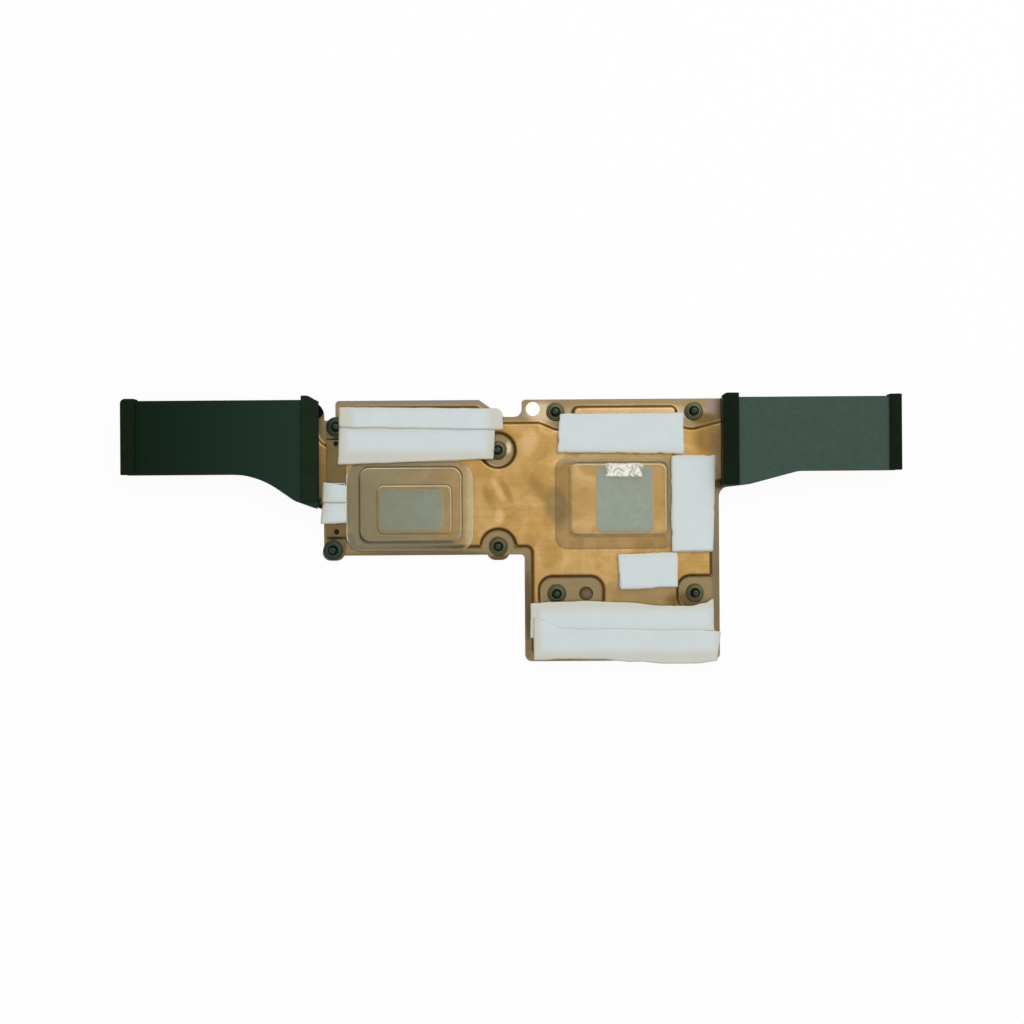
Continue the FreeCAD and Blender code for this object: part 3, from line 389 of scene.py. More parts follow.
@dataclass(frozen=True)
class SatinFilm(Finish):
    """Black polyester film or lacquer, satin, with a faint leathery grain.

    Attributes:
        shine: strength of its reflections.
        far: colour of a painted sheen that it fades to at its right end.
        ends: left and right end of that fade in mm.
        grain: width of the grain in mm.
    """

    shine: float = 0.3
    far: str | None = None
    ends: Point = (0.0, 1.0)
    # Real grain is about 0.1 mm wide; it is drawn coarser here, so that it shows
    grain: float = 1.6

    def shade(self, tree: Tree, shader: Node, place: Node) -> None:
        """Adds the grain, broad changes of gloss and a painted sheen towards the right end.

        Args:
            tree: node tree of the material.
            shader: its principled shader.
            place: its texture coordinates.
        """
        shader.inputs["Specular IOR Level"].default_value = self.shine
        self.mottle(tree, shader, place, scale=1 / (self.grain * MM), change=0.12, uneven=0.05, bump=0.006)
        if self.far is None:
            return
        # Painted sheen: the colour fades to the far colour towards the right end
        axes = add_node(tree, "ShaderNodeSeparateXYZ", {0: place.outputs["Object"]})
        along = add_node(tree, "ShaderNodeMapRange", {"Value": axes.outputs["X"],
                                                      "From Min": self.ends[0] * MM,
                                                      "From Max": self.ends[1] * MM})
        tinted = shader.inputs["Base Color"].links[0].from_socket
        faded = add_node(tree, "ShaderNodeMix", {0: along.outputs[0], 6: tinted, 7: linear(self.far)},
                         data_type="RGBA")
        tree.links.new(faded.outputs[2], shader.inputs["Base Color"])


@dataclass(frozen=True)
class FormedSheet(Finish):
    """Clear PET sheet, vacuum formed and hazed by handling, with painted highlight and painted shade on its
    bends.

    The mesh carries "lift", 0 on the flange and 1 on the top, and "fold", 1 on the crown of a bend
    and -1 at its foot.

    Attributes:
        flange: colour of the flange.
        cover: share of the light that the flange and the top stop.
        bend_cover: share that a bend stops beyond that, for its painted highlight and painted shade.
        edge: colour of the painted highlight on a bend.
        shadow: colour of its shaded side.
        steep: share that the lowest wall stops where it faces the front, drawn as painted shade.
        pale: colour of the flange at the rear and the right, where light comes in under it.
        bounds: X and Y in mm beyond which the flange is that pale.
        veil: share of the light that a veil of scratches stops at its left end, and its right end in mm.
        veil_length: length of that veil in mm.
        glare_patches: painted glare patches with crumpled edges on the top.
    """

    flange: str = "#9a8f70"
    cover: Point = (0.3, 0.2)
    bend_cover: float = 0.3
    edge: str = "#d9d3bd"
    shadow: str = "#4a3b20"
    steep: float = 0.0
    pale: str = "#cfc8a8"
    bounds: Point = (0.0, 0.0)
    veil: Point = (0.0, 0.0)
    veil_length: float = 32.0
    glare_patches: tuple[Mark, ...] = ()

    def bends(self, tree: Tree, place: Node) -> tuple[Socket, Socket]:
        """Finds how much painted highlight and painted shade a bend gets from the way it faces.

        Args:
            tree: node tree of the material.
            place: its texture coordinates.

        Returns:
            Shares of painted highlight and of painted shade. A crown is lit where it faces the rear and the
            right and shaded elsewhere, and a foot the other way round; a fold above 1 is lit in any case.
        """
        fold = add_node(tree, "ShaderNodeAttribute", attribute_name="fold").outputs["Fac"]
        under, over, sure = (add_node(tree, "ShaderNodeMath", {0: fold, 1: gain}, operation=operation,
                                      use_clamp=True).outputs[0]
                             for gain, operation in ((-1.0, "MULTIPLY"), (1.0, "MULTIPLY"), (-1.0, "ADD")))
        # Painted light on the bends: lit where they face the rear and the right, shaded where they face away
        facing = add_node(tree, "ShaderNodeVectorMath", {0: place.outputs["Normal"], 1: (0.5, 0.85, 0.0)},
                          operation="DOT_PRODUCT").outputs["Value"]
        white_crown, white_foot, dark_foot, dark_crown = (
            add_node(tree, "ShaderNodeMath", {0: facing, 1: gain, 2: start}, operation="MULTIPLY_ADD",
                     use_clamp=True).outputs[0]
            for gain, start in ((0.9, 0.45), (-0.9, -0.1), (0.9, 0.05), (-1.3, -0.2)))
        white = add_node(tree, "ShaderNodeMath", {0: over, 1: white_crown, 2: sure}, operation="MULTIPLY_ADD")
        white = add_node(tree, "ShaderNodeMath", {0: under, 1: white_foot, 2: white.outputs[0]},
                         operation="MULTIPLY_ADD", use_clamp=True)
        front = add_node(tree, "ShaderNodeMath", {0: facing, 1: -2.0 * self.steep, 2: -0.3 * self.steep},
                         operation="MULTIPLY_ADD", use_clamp=True)
        lift = add_node(tree, "ShaderNodeAttribute", attribute_name="lift").outputs["Fac"]
        lowest = add_node(tree, "ShaderNodeMapRange", {"Value": lift, "From Min": 0.5, "From Max": 0.6,
                                                       "To Min": 1.0, "To Max": 0.0})
        front = add_node(tree, "ShaderNodeMath", {0: front.outputs[0], 1: lowest.outputs[0]},
                         operation="MULTIPLY")
        dark = add_node(tree, "ShaderNodeMath", {0: under, 1: dark_foot, 2: front.outputs[0]},
                        operation="MULTIPLY_ADD")
        dark = add_node(tree, "ShaderNodeMath", {0: over, 1: dark_crown, 2: dark.outputs[0]},
                        operation="MULTIPLY_ADD", use_clamp=True)
        return white.outputs[0], dark.outputs[0]

    def shade(self, tree: Tree, shader: Node, place: Node) -> None:
        """Adds the haze, the painted highlight and shade on the bends, the painted glare patches, the gloss
        and the ripples.

        Args:
            tree: node tree of the material.
            shader: its principled shader.
            place: its texture coordinates.
        """
        spot = place.outputs["Object"]
        white, dark = self.bends(tree, place)
        lift = add_node(tree, "ShaderNodeAttribute", attribute_name="lift").outputs["Fac"]
        axes = add_node(tree, "ShaderNodeSeparateXYZ", {0: spot})
        blur = 1.2
        beyond = [add_node(tree, "ShaderNodeMapRange", {"Value": axes.outputs[i],
                                                        "From Min": (bound - blur) * MM,
                                                        "From Max": (bound + blur) * MM}).outputs[0]
                  for i, bound in enumerate(self.bounds)]
        lit = add_node(tree, "ShaderNodeMath", {0: beyond[0], 1: beyond[1]}, operation="MAXIMUM").outputs[0]
        tone = add_node(tree, "ShaderNodeMix", {0: lit, 6: linear(self.flange), 7: linear(self.pale)},
                        data_type="RGBA").outputs[2]
        for part, colour in ((lift, self.tone), (white, self.edge), (dark, self.shadow)):
            tone = add_node(tree, "ShaderNodeMix", {0: part, 6: tone, 7: linear(colour)},
                            data_type="RGBA").outputs[2]
        dust = add_node(tree, "ShaderNodeTexNoise", {"Vector": spot, "Scale": 1 / (7 * MM), "Detail": 5.0})
        uneven = add_node(tree, "ShaderNodeMapRange", {"Value": dust.outputs["Fac"], "From Min": 0.3,
                                                       "From Max": 0.7, "To Min": 0.8, "To Max": 1.2})
        flat = add_node(tree, "ShaderNodeMapRange", {"Value": lift, "To Min": self.cover[0],
                                                     "To Max": self.cover[1]})
        scratched, right_end = self.veil
        veil = add_node(tree, "ShaderNodeMapRange", {"Value": axes.outputs["X"], "From Min": right_end * MM,
                                                     "From Max": (right_end - self.veil_length) * MM,
                                                     "To Max": scratched})
        paler = add_node(tree, "ShaderNodeMath", {0: lit, 1: 0.2, 2: veil.outputs[0]},
                         operation="MULTIPLY_ADD")
        flat = add_node(tree, "ShaderNodeMath", {0: flat.outputs[0], 1: paler.outputs[0]}, operation="ADD")
        share = add_node(tree, "ShaderNodeMath", {0: flat.outputs[0], 1: uneven.outputs[0]},
                         operation="MULTIPLY")
        bent = add_node(tree, "ShaderNodeMath", {0: white, 1: dark}, operation="ADD")
        share = add_node(tree, "ShaderNodeMath", {0: bent.outputs[0], 1: self.bend_cover, 2: share.outputs[0]},
                         operation="MULTIPLY_ADD", use_clamp=True).outputs[0]
        # Painted glare patches on the top
        for mark in self.glare_patches:
            tone, share = self.lay_glare(tree, spot, lift, tone, share, mark)
        tree.links.new(tone, shader.inputs["Base Color"])
        tree.links.new(share, shader.inputs["Alpha"])
        shader.inputs["Roughness"].default_value = self.rough
        ripple = add_node(tree, "ShaderNodeTexNoise", {"Vector": spot, "Scale": 1 / (9 * MM), "Detail": 1.0})
        relief = add_node(tree, "ShaderNodeBump", {"Height": ripple.outputs["Fac"], "Strength": 0.5,
                                                   "Distance": 0.2 * MM})
        tree.links.new(relief.outputs[0], shader.inputs["Normal"])

    def lay_glare(self, tree: Tree, spot: Socket, lift: Socket, tone: Socket, share: Socket,
              mark: Mark) -> tuple[Socket, Socket]:
        """Lays one painted glare patch, with crumpled edges, over the sheet's top.

        Args:
            tree: node tree of the material.
            spot: position on the piece.
            lift: height on the sheet, 1 on the top.
            tone: colour of the sheet there.
            share: share of the light that the sheet stops there.
            mark: the patch.

        Returns:
            Sockets of the new colour and share.
        """
        local = add_node(tree, "ShaderNodeMapping",
                         {"Vector": spot, "Location": (mark.at[0] * MM, mark.at[1] * MM, 0.0),
                          "Rotation": (0.0, 0.0, math.radians(mark.turn)),
                          "Scale": (mark.reach[0] * MM, mark.reach[1] * MM, 1000.0)}, vector_type="TEXTURE")
        crumple = add_node(tree, "ShaderNodeTexNoise", {"Vector": spot, "Scale": 1 / (3.4 * MM),
                                                        "Detail": 2.0, "Distortion": 2.0})
        plain = add_node(tree, "ShaderNodeVectorMath", {0: local.outputs[0]}, operation="ABSOLUTE")
        sides = add_node(tree, "ShaderNodeSeparateXYZ", {0: plain.outputs[0]})
        far = add_node(tree, "ShaderNodeMath", {0: sides.outputs["X"], 1: sides.outputs["Y"]},
                       operation="MAXIMUM")
        ragged = add_node(tree, "ShaderNodeMath", {0: crumple.outputs["Fac"], 1: -0.5, 2: far.outputs[0]},
                          operation="MULTIPLY_ADD")
        ragged = add_node(tree, "ShaderNodeMath", {0: ragged.outputs[0], 1: 0.25}, operation="ADD")
        inside = add_node(tree, "ShaderNodeMapRange", {"Value": ragged.outputs[0], "From Min": mark.core,
                                                       "From Max": 1.0, "To Min": mark.share, "To Max": 0.0})
        lines = add_node(tree, "ShaderNodeMapRange", {"Value": crumple.outputs["Fac"], "From Min": 0.34,
                                                      "From Max": 0.56, "To Min": 0.4, "To Max": 1.0})
        top = add_node(tree, "ShaderNodeMapRange", {"Value": lift, "From Min": 0.3, "From Max": 0.6})
        white = add_node(tree, "ShaderNodeMath", {0: inside.outputs[0], 1: lines.outputs[0]},
                         operation="MULTIPLY")
        white = add_node(tree, "ShaderNodeMath", {0: white.outputs[0], 1: top.outputs[0]},
                         operation="MULTIPLY")
        tone = add_node(tree, "ShaderNodeMix", {0: white.outputs[0], 6: tone, 7: linear(mark.tone)},
                        data_type="RGBA").outputs[2]
        share = add_node(tree, "ShaderNodeMath", {0: share, 1: white.outputs[0]}, operation="MAXIMUM")
        return tone, share.outputs[0]


@dataclass(frozen=True)
class ReleaseLiner(Finish):
    """White translucent release film, bluish where the pad below shows through.

    Attributes:
        through: colour over the pad.
    """

    through: str = "#ccd8dc"

    def shade(self, tree: Tree, shader: Node, place: Node) -> None:
        """Adds the pad's tint, faint creases and the film's gloss.

        Args:
            tree: node tree of the material.
            shader: its principled shader.
            place: its texture coordinates.
        """
        spot = place.outputs["Object"]
        over = add_node(tree, "ShaderNodeAttribute", attribute_name="over_pad")
        tone = add_node(tree, "ShaderNodeMix", {0: over.outputs["Fac"], 6: linear(self.tone),
                                                7: linear(self.through)}, data_type="RGBA").outputs[2]
        cloud = add_node(tree, "ShaderNodeTexNoise", {"Vector": spot, "Scale": 1 / (6 * MM), "Detail": 4.0,
                                                      "Distortion": 0.8})
        light = add_node(tree, "ShaderNodeMapRange", {"Value": cloud.outputs["Fac"], "From Min": 0.3,
                                                      "From Max": 0.7, "To Min": 0.98, "To Max": 1.02})
        tone = add_node(tree, "ShaderNodeMix", {0: 1.0, 6: tone, 7: light.outputs[0]},
                        data_type="RGBA", blend_type="MULTIPLY").outputs[2]
        tree.links.new(tone, shader.inputs["Base Color"])
        shader.inputs["Roughness"].default_value = self.rough
        shader.inputs["Specular IOR Level"].default_value = 0.35
        relief = add_node(tree, "ShaderNodeBump", {"Height": cloud.outputs["Fac"], "Strength": 0.5,
                                                   "Distance": 0.06 * MM})
        tree.links.new(relief.outputs[0], shader.inputs["Normal"])


@dataclass(frozen=True)
class Paste(Finish):
    """Grey thermal paste, spread and pressed, with a soft stipple.

    The mesh carries "thick", 0 where the paste runs out and 1 where it is full.

    Attributes:
        thin: colour where it runs out.
    """

    thin: str = "#b39463"

    def shade(self, tree: Tree, shader: Node, place: Node) -> None:
        """Adds the stipple and the thin places.

        Args:
            tree: node tree of the material.
            shader: its principled shader.
            place: its texture coordinates.
        """
        self.mottle(tree, shader, place, scale=1 / (2.2 * MM), change=0.09, uneven=0.10, bump=0.05)
        thick = add_node(tree, "ShaderNodeAttribute", attribute_name="thick")
        full = shader.inputs["Base Color"].links[0].from_socket
        tone = add_node(tree, "ShaderNodeMix", {0: thick.outputs["Fac"], 6: linear(self.thin), 7: full},
                        data_type="RGBA")
        tree.links.new(tone.outputs[2], shader.inputs["Base Color"])


# Axes of the captive screws in mm
GRAPHICS_AXES = ((14.8, 38.9), (60.8, 38.9), (14.8, -21.6), (60.8, -21.6))
PROCESSOR_AXES = ((-4.5, 26.3), (-4.5, -5.7))
BRACKET_AXES = ((-58.2, 34.4), (-59.4, -6.6))

# Each mark gives its centre, reach, turn, colour, share and core, and later marks lie over earlier ones
COPPER_MARKS = (
    # Darker, greyer edges from the rear left round to the bracket, with painted shade along the front edge of
    # the left part, and a painted shadow in the corner under the right bank's film
    Mark((-30.0, 43.5), (46.0, 3.2), 0.0, "#857f78", 0.85),
    Mark((67.5, 10.0), (3.5, 34.0), 0.0, "#7a7362", 0.75),
    Mark((68.8, 14.6), (2.4, 2.2), 0.0, "#3a2f20", 0.75, 0.4),
    Mark((68.0, -20.0), (2.2, 26.0), 0.0, "#736850", 0.8),
    Mark((5.2, -26.0), (1.9, 22.0), 0.0, "#5d5038", 0.85),
    Mark((-30.0, -8.3), (34.0, 1.9), 0.0, "#62573f", 0.85),
    Mark((-60.0, 10.0), (7.0, 34.0), 0.0, "#86693c", 0.8),
    # Painted highlight along the rear edge behind the graphics contact
    Mark((40.0, 38.5), (34.0, 3.4), 0.0, "#d2b18a", 0.7),
    Mark((10.0, 38.8), (7.0, 5.0), 0.0, "#dfc4a2", 0.7),
    # Heat stains by the right arm, darkened further by painted shadow beside the right bank's seal
    Mark((64.5, 36.2), (5.5, 3.4), 0.0, "#5d4c28", 0.8),
    Mark((65.0, 29.7), (6.5, 9.0), 0.0, "#7a5d30", 0.8),
    # Painted reflections, highlights and shade on the copper between the two contacts, and a painted
    # highlight on the land beside the rear processor screw
    Mark((14.8, 7.6), (8.6, 5.0), 100.0, "#7d6b46", 0.58, 0.5),
    Mark((9.2, 1.6), (6.5, 2.4), -60.0, "#d0a05a", 0.6),
    Mark((9.0, 13.6), (10.5, 3.2), -53.0, "#84703f", 0.55, 0.1),
    Mark((-1.6, 12.7), (6.0, 1.7), -65.0, "#93703a", 0.6),
    Mark((-4.4, 13.0), (6.0, 1.6), -65.0, "#dcb67e", 0.6),
    Mark((-7.5, 11.1), (4.5, 2.4), -60.0, "#987642", 0.55),
    Mark((-4.1, 4.5), (4.0, 2.2), 90.0, "#dfb882", 0.6),
    Mark((5.5, 28.5), (7.0, 4.0), 70.0, "#dcb684", 0.6),
    Mark((-0.9, 27.0), (1.4, 3.2), 0.0, "#e6d3ae", 0.75),
    # Painted shadow on the front retainer tab, a darker field at the front right with painted shadow along
    # the power pad's liner, heat tint at the rear right corner, and a darker, duller field under the
    # processor film
    Mark((-4.4, -9.6), (4.6, 1.5), 0.0, "#4a4234", 0.8, 0.4),
    Mark((48.0, -21.5), (26.0, 9.0), 0.0, "#8d7b58", 0.7),
    Mark((57.0, -24.0), (9.0, 4.0), 0.0, "#5f4d24", 0.8),
    Mark((66.8, 40.3), (3.0, 3.0), 0.0, "#93808c", 0.65, 0.15),
    Mark((-32.0, 8.0), (30.0, 22.0), 0.0, "#a3865a", 0.5),
    # Near-black patches on the copper shoulder beside the left bank
    Mark((-64.2, 40.9), (2.4, 3.8), 0.0, "#12180f", 1.0, 0.8),
    Mark((-64.0, 7.4), (2.0, 2.2), 0.0, "#1a1a14", 0.95, 0.6),
    # Painted contact shadow in a ring round each retainer
    *(Mark(at, (3.3, 3.3), 0.0, "#3a2f1c", 0.7, 0.9) for at in GRAPHICS_AXES + PROCESSOR_AXES),
    # Shade in the two small holes of the bracket strip
    Mark((-58.2, -0.45), (1.1, 1.1), 0.0, "#1c1712", 0.95, 0.75),
    Mark((-58.2, 28.7), (1.1, 1.1), 0.0, "#1c1712", 0.95, 0.75),
)
# Painted shade on the back shell's face at the bottom of the locating dimple, darkest round its edge
DIMPLE_MARKS = (
    Mark((24.6, -21.6), (3.1, 3.1), 0.0, "#3c2c1c", 0.9, 0.75, 1.6),
    Mark((24.9, -21.8), (2.2, 2.2), 0.0, "#74675a", 0.9, 0.3, 1.6),
)

# Copper sheet, deep drawn and brushed along its length: a warm, broken gloss with fine lines, painted
# shade in the drawn walls, dull on the rim, stained by heat, and painted shadows, highlights and reflections
# laid on as marks
COPPER = BrushedCopper("copper_brushed", "copper", "#b99254", 0.36, 1.0, pale="#d3ad72", marks=COPPER_MARKS)
# The same sheet at the back, which is handled less: a more even and redder gloss
BACK_COPPER = BrushedCopper("copper_back", "copper", "#c08f5a", 0.38, 1.0, pale="#c99c68", dull="#b08353",
                            rim_top=-1.0, marks=DIMPLE_MARKS)
# Copper posts, sintered in place: rougher than the sheet, so they look dull
COLUMN_COPPER = BrushedCopper("copper_sintered", "copper", "#b9824e", 0.5, 1.0, rim_top=-1.0)
# Copper wire cloth, woven and sintered to the shell: a soft sparkle with dark gaps between the wires
WICK = WovenMesh("copper_wire_cloth", "wick", "#b27a4a", 0.45, 1.0)
# Black lacquer, dipped over the folded fins: a satin near-black that hides the metal
FIN_BLACK = SatinFilm("fin_black_lacquer", "fin_black", "#141c17", 0.5)
# Black polyester film, cast and stuck down: a greenish satin black, greyer towards its right end with a
# painted sheen
LEFT_FILM = SatinFilm("black_satin_film", "black_film", "#0a1c0f", 0.42, shine=0.05, far="#1f3327",
                      ends=(-125.0, -70.0))
# The same film as a paler copy with a painted sheen: greyer and paler all over
RIGHT_FILM = SatinFilm("black_film_painted_sheen", "black_film", "#2f463b", 0.42, shine=0.25)
# Polyurethane foam tape, slit from a block: a deep matte charcoal with open pores
FOAM = Foam("charcoal_foam", "foam", "#131d11", 0.95)
# The same tape, a little paler
PALER_FOAM = Foam("paler_foam", "foam", "#1a2819", 0.95)
# Spring steel, stamped and dull plated: a soft gloss, its brownish tone partly a painted reflection of the
# copper
STRIP_STEEL = Finish("spring_steel", "bracket_steel", "#756542", 0.4, 1.0)
# Carbon steel, thread rolled and black zinc plated: a dark greenish gloss
SCREW_STEEL = Finish("black_zinc_steel", "screw_steel", "#3f483c", 0.34, 1.0)
# Free-cutting steel, turned and olive zinc plated: a soft gloss, lighter than the screws
RING_STEEL = Finish("olive_zinc_steel", "screw_steel", "#585a42", 0.36, 1.0)
# The same steel with a darker plating, for the screws and rings on the bracket's ears
EAR_STEEL = Finish("dark_zinc_steel", "screw_steel", "#38443a", 0.4, 1.0)
# Silicone paste filled with metal oxide, spread and pressed: a soft grey stipple that thins at the edge
PASTE = Paste("grey_paste", "paste", "#909c8f", 0.5)
# PET sheet, vacuum formed: clear and glossy, with painted highlight and painted shade along its bends, and a
# veil of scratches
HAZY_SHEET = FormedSheet("hazy_formed_sheet", "clear_film", "#8c8b6a", 0.2, flange="#8a8466",
                         cover=(0.10, 0.06), bend_cover=0.7, edge="#e8dbb6", shadow="#3d3320", steep=0.85,
                         pale="#d8c9a0", bounds=(-15.4, 22.6), veil=(0.34, -16.0))
# The same sheet with fewer scratches and one painted glare patch with crumpled edges
CLEAR_SHEET = FormedSheet("clear_formed_sheet", "clear_film", "#b4ab84", 0.14, flange="#6a5c3c",
                          cover=(0.15, 0.06), bend_cover=0.6, edge="#e6d7ac", shadow="#5a481f", steep=0.1,
                          pale="#c4c3a8", bounds=(52.0, 22.6),
                          glare_patches=(Mark((37.3, 20.2), (6.4, 3.2), 0.0, "#f6f4ea", 0.95, 0.8),))
# White polyester release film, calendered: an even low gloss, bluish over the pad and warmer beyond it
LINER = ReleaseLiner("white_release_liner", "liner", "#cbcabe", 0.42, through="#cfd8d8")
# Filled silicone, calendered between liners: a matte pale grey
PAD = Finish("soft_silicone_pad", "pad", "#b4bcbc", 0.8)
# White card, uncoated: matte and almost without a tone of its own
FLOOR = Finish("pale_floor", "floor", "#f4f4f2", 0.9)


# Mesh making


def rounded_outline(low: Point, high: Point, radius: float, runs: tuple[int, int] = (1, 1),
                    arc: int = 6) -> list[tuple[float, float, float, float]]:
    """Walks round a rounded rectangle, anticlockwise.

    Args:
        low: front left corner in mm.
        high: rear right corner in mm.
        radius: corner radius in mm.
        runs: pieces that the straight sides are divided into, along X and along Y.
        arc: pieces to a corner.

    Returns:
        Position and outward normal of each point.
    """
    radius = min(radius, (high[0] - low[0]) / 2.01, (high[1] - low[1]) / 2.01)
    centres = ((high[0] - radius, low[1] + radius, -90), (high[0] - radius, high[1] - radius, 0),
               (low[0] + radius, high[1] - radius, 90), (low[0] + radius, low[1] + radius, 180))
    walk: list[tuple[float, float, float, float]] = []
    for corner, (x, y, start) in enumerate(centres):
        for i in range(arc + 1):
            angle = math.radians(start + 90.0 * i / arc)
            walk.append((x + radius * math.cos(angle), y + radius * math.sin(angle),
                         math.cos(angle), math.sin(angle)))
        here = walk[-1]
        ahead = centres[(corner + 1) % 4]
        angle = math.radians(ahead[2])
        there = (ahead[0] + radius * math.cos(angle), ahead[1] + radius * math.sin(angle))
        parts = runs[1] if corner % 2 == 0 else runs[0]
        for i in range(1, parts):
            walk.append((here[0] + (there[0] - here[0]) * i / parts,
                         here[1] + (there[1] - here[1]) * i / parts, here[2], here[3]))
    return walk


def turned_ring(radius: float, height: float, sides: int, lobe: float = 0.0) -> Ring:
    """Makes one ring of a turned piece.

    Args:
        radius: mean radius in mm.
        height: height in mm.
        sides: points to the ring.
        lobe: height of six lobes on the ring, for a driver socket.

    Returns:
        The ring's points.
    """
    ring = []
    for i in range(sides):
        angle = 2 * math.pi * i / sides
        reach = radius + lobe * math.cos(6 * angle)
        ring.append(Vector((reach * math.cos(angle), reach * math.sin(angle), height)))
    return ring


def loft(rings: Sequence[Ring], floor: bool = True, top: bool = True,
         wrap: bool = False) -> tuple[Ring, list[tuple[int, ...]]]:
    """Joins rings of equal count into one skin.

    Args:
        rings: rings from first to last.
        floor: closes the first ring.
        top: closes the last ring.
        wrap: joins the last ring to the first instead.

    Returns:
        Points and faces.
    """
    count = len(rings[0])
    points = [point for ring in rings for point in ring]
    faces: list[tuple[int, ...]] = []
    pairs = [(i, i + 1) for i in range(len(rings) - 1)] + ([(len(rings) - 1, 0)] if wrap else [])
    for lower, upper in pairs:
        for i in range(count):
            j = (i + 1) % count
            faces.append((lower * count + i, lower * count + j, upper * count + j, upper * count + i))
    if floor and not wrap:
        faces.append(tuple(reversed(range(count))))
    if top and not wrap:
        faces.append(tuple(range(len(points) - count, len(points))))
    return points, faces


def mesh_object(name: str, points: Iterable[Vector], faces: Iterable[Sequence[int]], finish: Finish,
                smooth: float = 40.0) -> Piece:
    """Makes an object of points and faces, with its faces outwards.

    Args:
        name: name of the piece.
        points: points in mm.
        faces: point numbers of each face.
        finish: its finish.
        smooth: angle in degrees above which an edge stays sharp.

    Returns:
        The new object.
    """
    mesh = bpy.data.meshes.new(name)
    mesh.from_pydata([point * MM for point in points], [], list(faces))
    shape = bmesh.new()
    shape.from_mesh(mesh)
    bmesh.ops.recalc_face_normals(shape, faces=shape.faces[:])
    shape.to_mesh(mesh)
    shape.free()
    return shown(name, mesh, finish, smooth)


def shown(name: str, mesh: bpy.types.Mesh, finish: Finish, smooth: float = 40.0) -> Piece:
    """Puts a mesh into the scene with its finish.

    Args:
        name: name of the piece.
        mesh: the mesh.
        finish: its finish.
        smooth: angle in degrees above which an edge stays sharp.

    Returns:
        The new object.
    """
    mesh.shade_smooth()
    mesh.set_sharp_from_angle(angle=math.radians(smooth))
    mesh.materials.clear()
    mesh.materials.append(finish.material())
    piece = bpy.data.objects.new(name, mesh)
    bpy.context.scene.collection.objects.link(piece)
    return piece


def applied(piece: Piece) -> Piece:
    """Turns a piece's modifiers into plain mesh.

    Args:
        piece: the object.

    Returns:
        The same object.
    """
    bpy.context.view_layer.update()
    graph = bpy.context.evaluated_depsgraph_get()
    mesh = bpy.data.meshes.new_from_object(piece.evaluated_get(graph))
    piece.modifiers.clear()
    piece.data = mesh
    return piece


def soft_copy(node: str, finish: Finish, edge: float, steps: int = 2, fine: float = 0.08,
              grow: float = 0.0) -> Piece:
    """Copies a solid with its edges eased as pressing or moulding leaves them.

    Args:
        node: name of the solid.
        finish: its finish.
        edge: width in mm of the eased edges between two faces that look the same way, up or down.
        steps: faces across the eased edge.
        fine: width in mm of the other eased edges.
        grow: how far the upright sides are moved out, in mm.

    Returns:
        The new object.
    """
    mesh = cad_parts[node].data.copy()
    shape = bmesh.new()
    shape.from_mesh(mesh)
    bmesh.ops.remove_doubles(shape, verts=shape.verts[:], dist=1e-6)
    bmesh.ops.dissolve_limit(shape, angle_limit=math.radians(0.5), use_dissolve_boundaries=False,
                             verts=shape.verts[:], edges=shape.edges[:])
    shape.normal_update()
    moves = {corner: side_move(corner, grow * MM) for corner in shape.verts} if grow else {}
    for corner, move in moves.items():
        corner.co += move
    shape.normal_update()
    weight = shape.edges.layers.float.new("bevel_weight_edge")
    for rim in shape.edges:
        if len(rim.link_faces) == 2 and rim.calc_face_angle(0.0) > math.radians(25.0):
            pressed = all(abs(side.normal.z) > 0.1 for side in rim.link_faces)
            rim[weight] = 1.0 if pressed else fine / edge
    shape.to_mesh(mesh)
    shape.free()
    piece = shown(f"{node}_eased", mesh, finish, 180.0)
    ease = piece.modifiers.new("eased_edge", "BEVEL")
    ease.width = edge * MM
    ease.segments = steps
    ease.limit_method = "WEIGHT"
    ease.use_clamp_overlap = False
    ease.loop_slide = False
    even = piece.modifiers.new("even_normals", "WEIGHTED_NORMAL")
    even.weight = 100
    return applied(piece)


def side_move(corner: bmesh.types.BMVert, out: float) -> Vector:
    """Finds how a corner moves when the upright sides beside it move out.

    Args:
        corner: the corner.
        out: how far the sides move in metres.

    Returns:
        The move in metres.
    """
    ways: list[Vector] = []
    for side in corner.link_faces:
        way = side.normal.copy()
        if abs(way.z) < 0.2 and all(way.dot(known) < 0.9999 for known in ways):
            ways.append(way)
    if not ways:
        return Vector()
    total = sum(ways, Vector())
    return total * (out * len(ways) / total.length_squared)


def hand_over(piece: Piece, finish: Finish, *nodes: str, fill: float | None = None) -> None:
    """Puts a finished piece in place of its solids.

    Args:
        piece: the finished piece.
        finish: the piece's finish; not used.
        *nodes: the solids that it stands for.
        fill: how tight a padded piece is, from 0 to 1; not used.
    """
    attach(piece, "root")
    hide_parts(*nodes)
    LOG.info("%s: %d faces for %s", piece.name, len(piece.data.polygons), ", ".join(nodes))


def dress(node: str, finish: Finish) -> None:
    """Gives a carried-over solid its finish.

    Args:
        node: name of the solid.
        finish: its finish.
    """
    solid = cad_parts[node]
    for holder in solid.material_slots:
        holder.material = finish.material()
    LOG.info("%s: finish %s", node, finish.name)


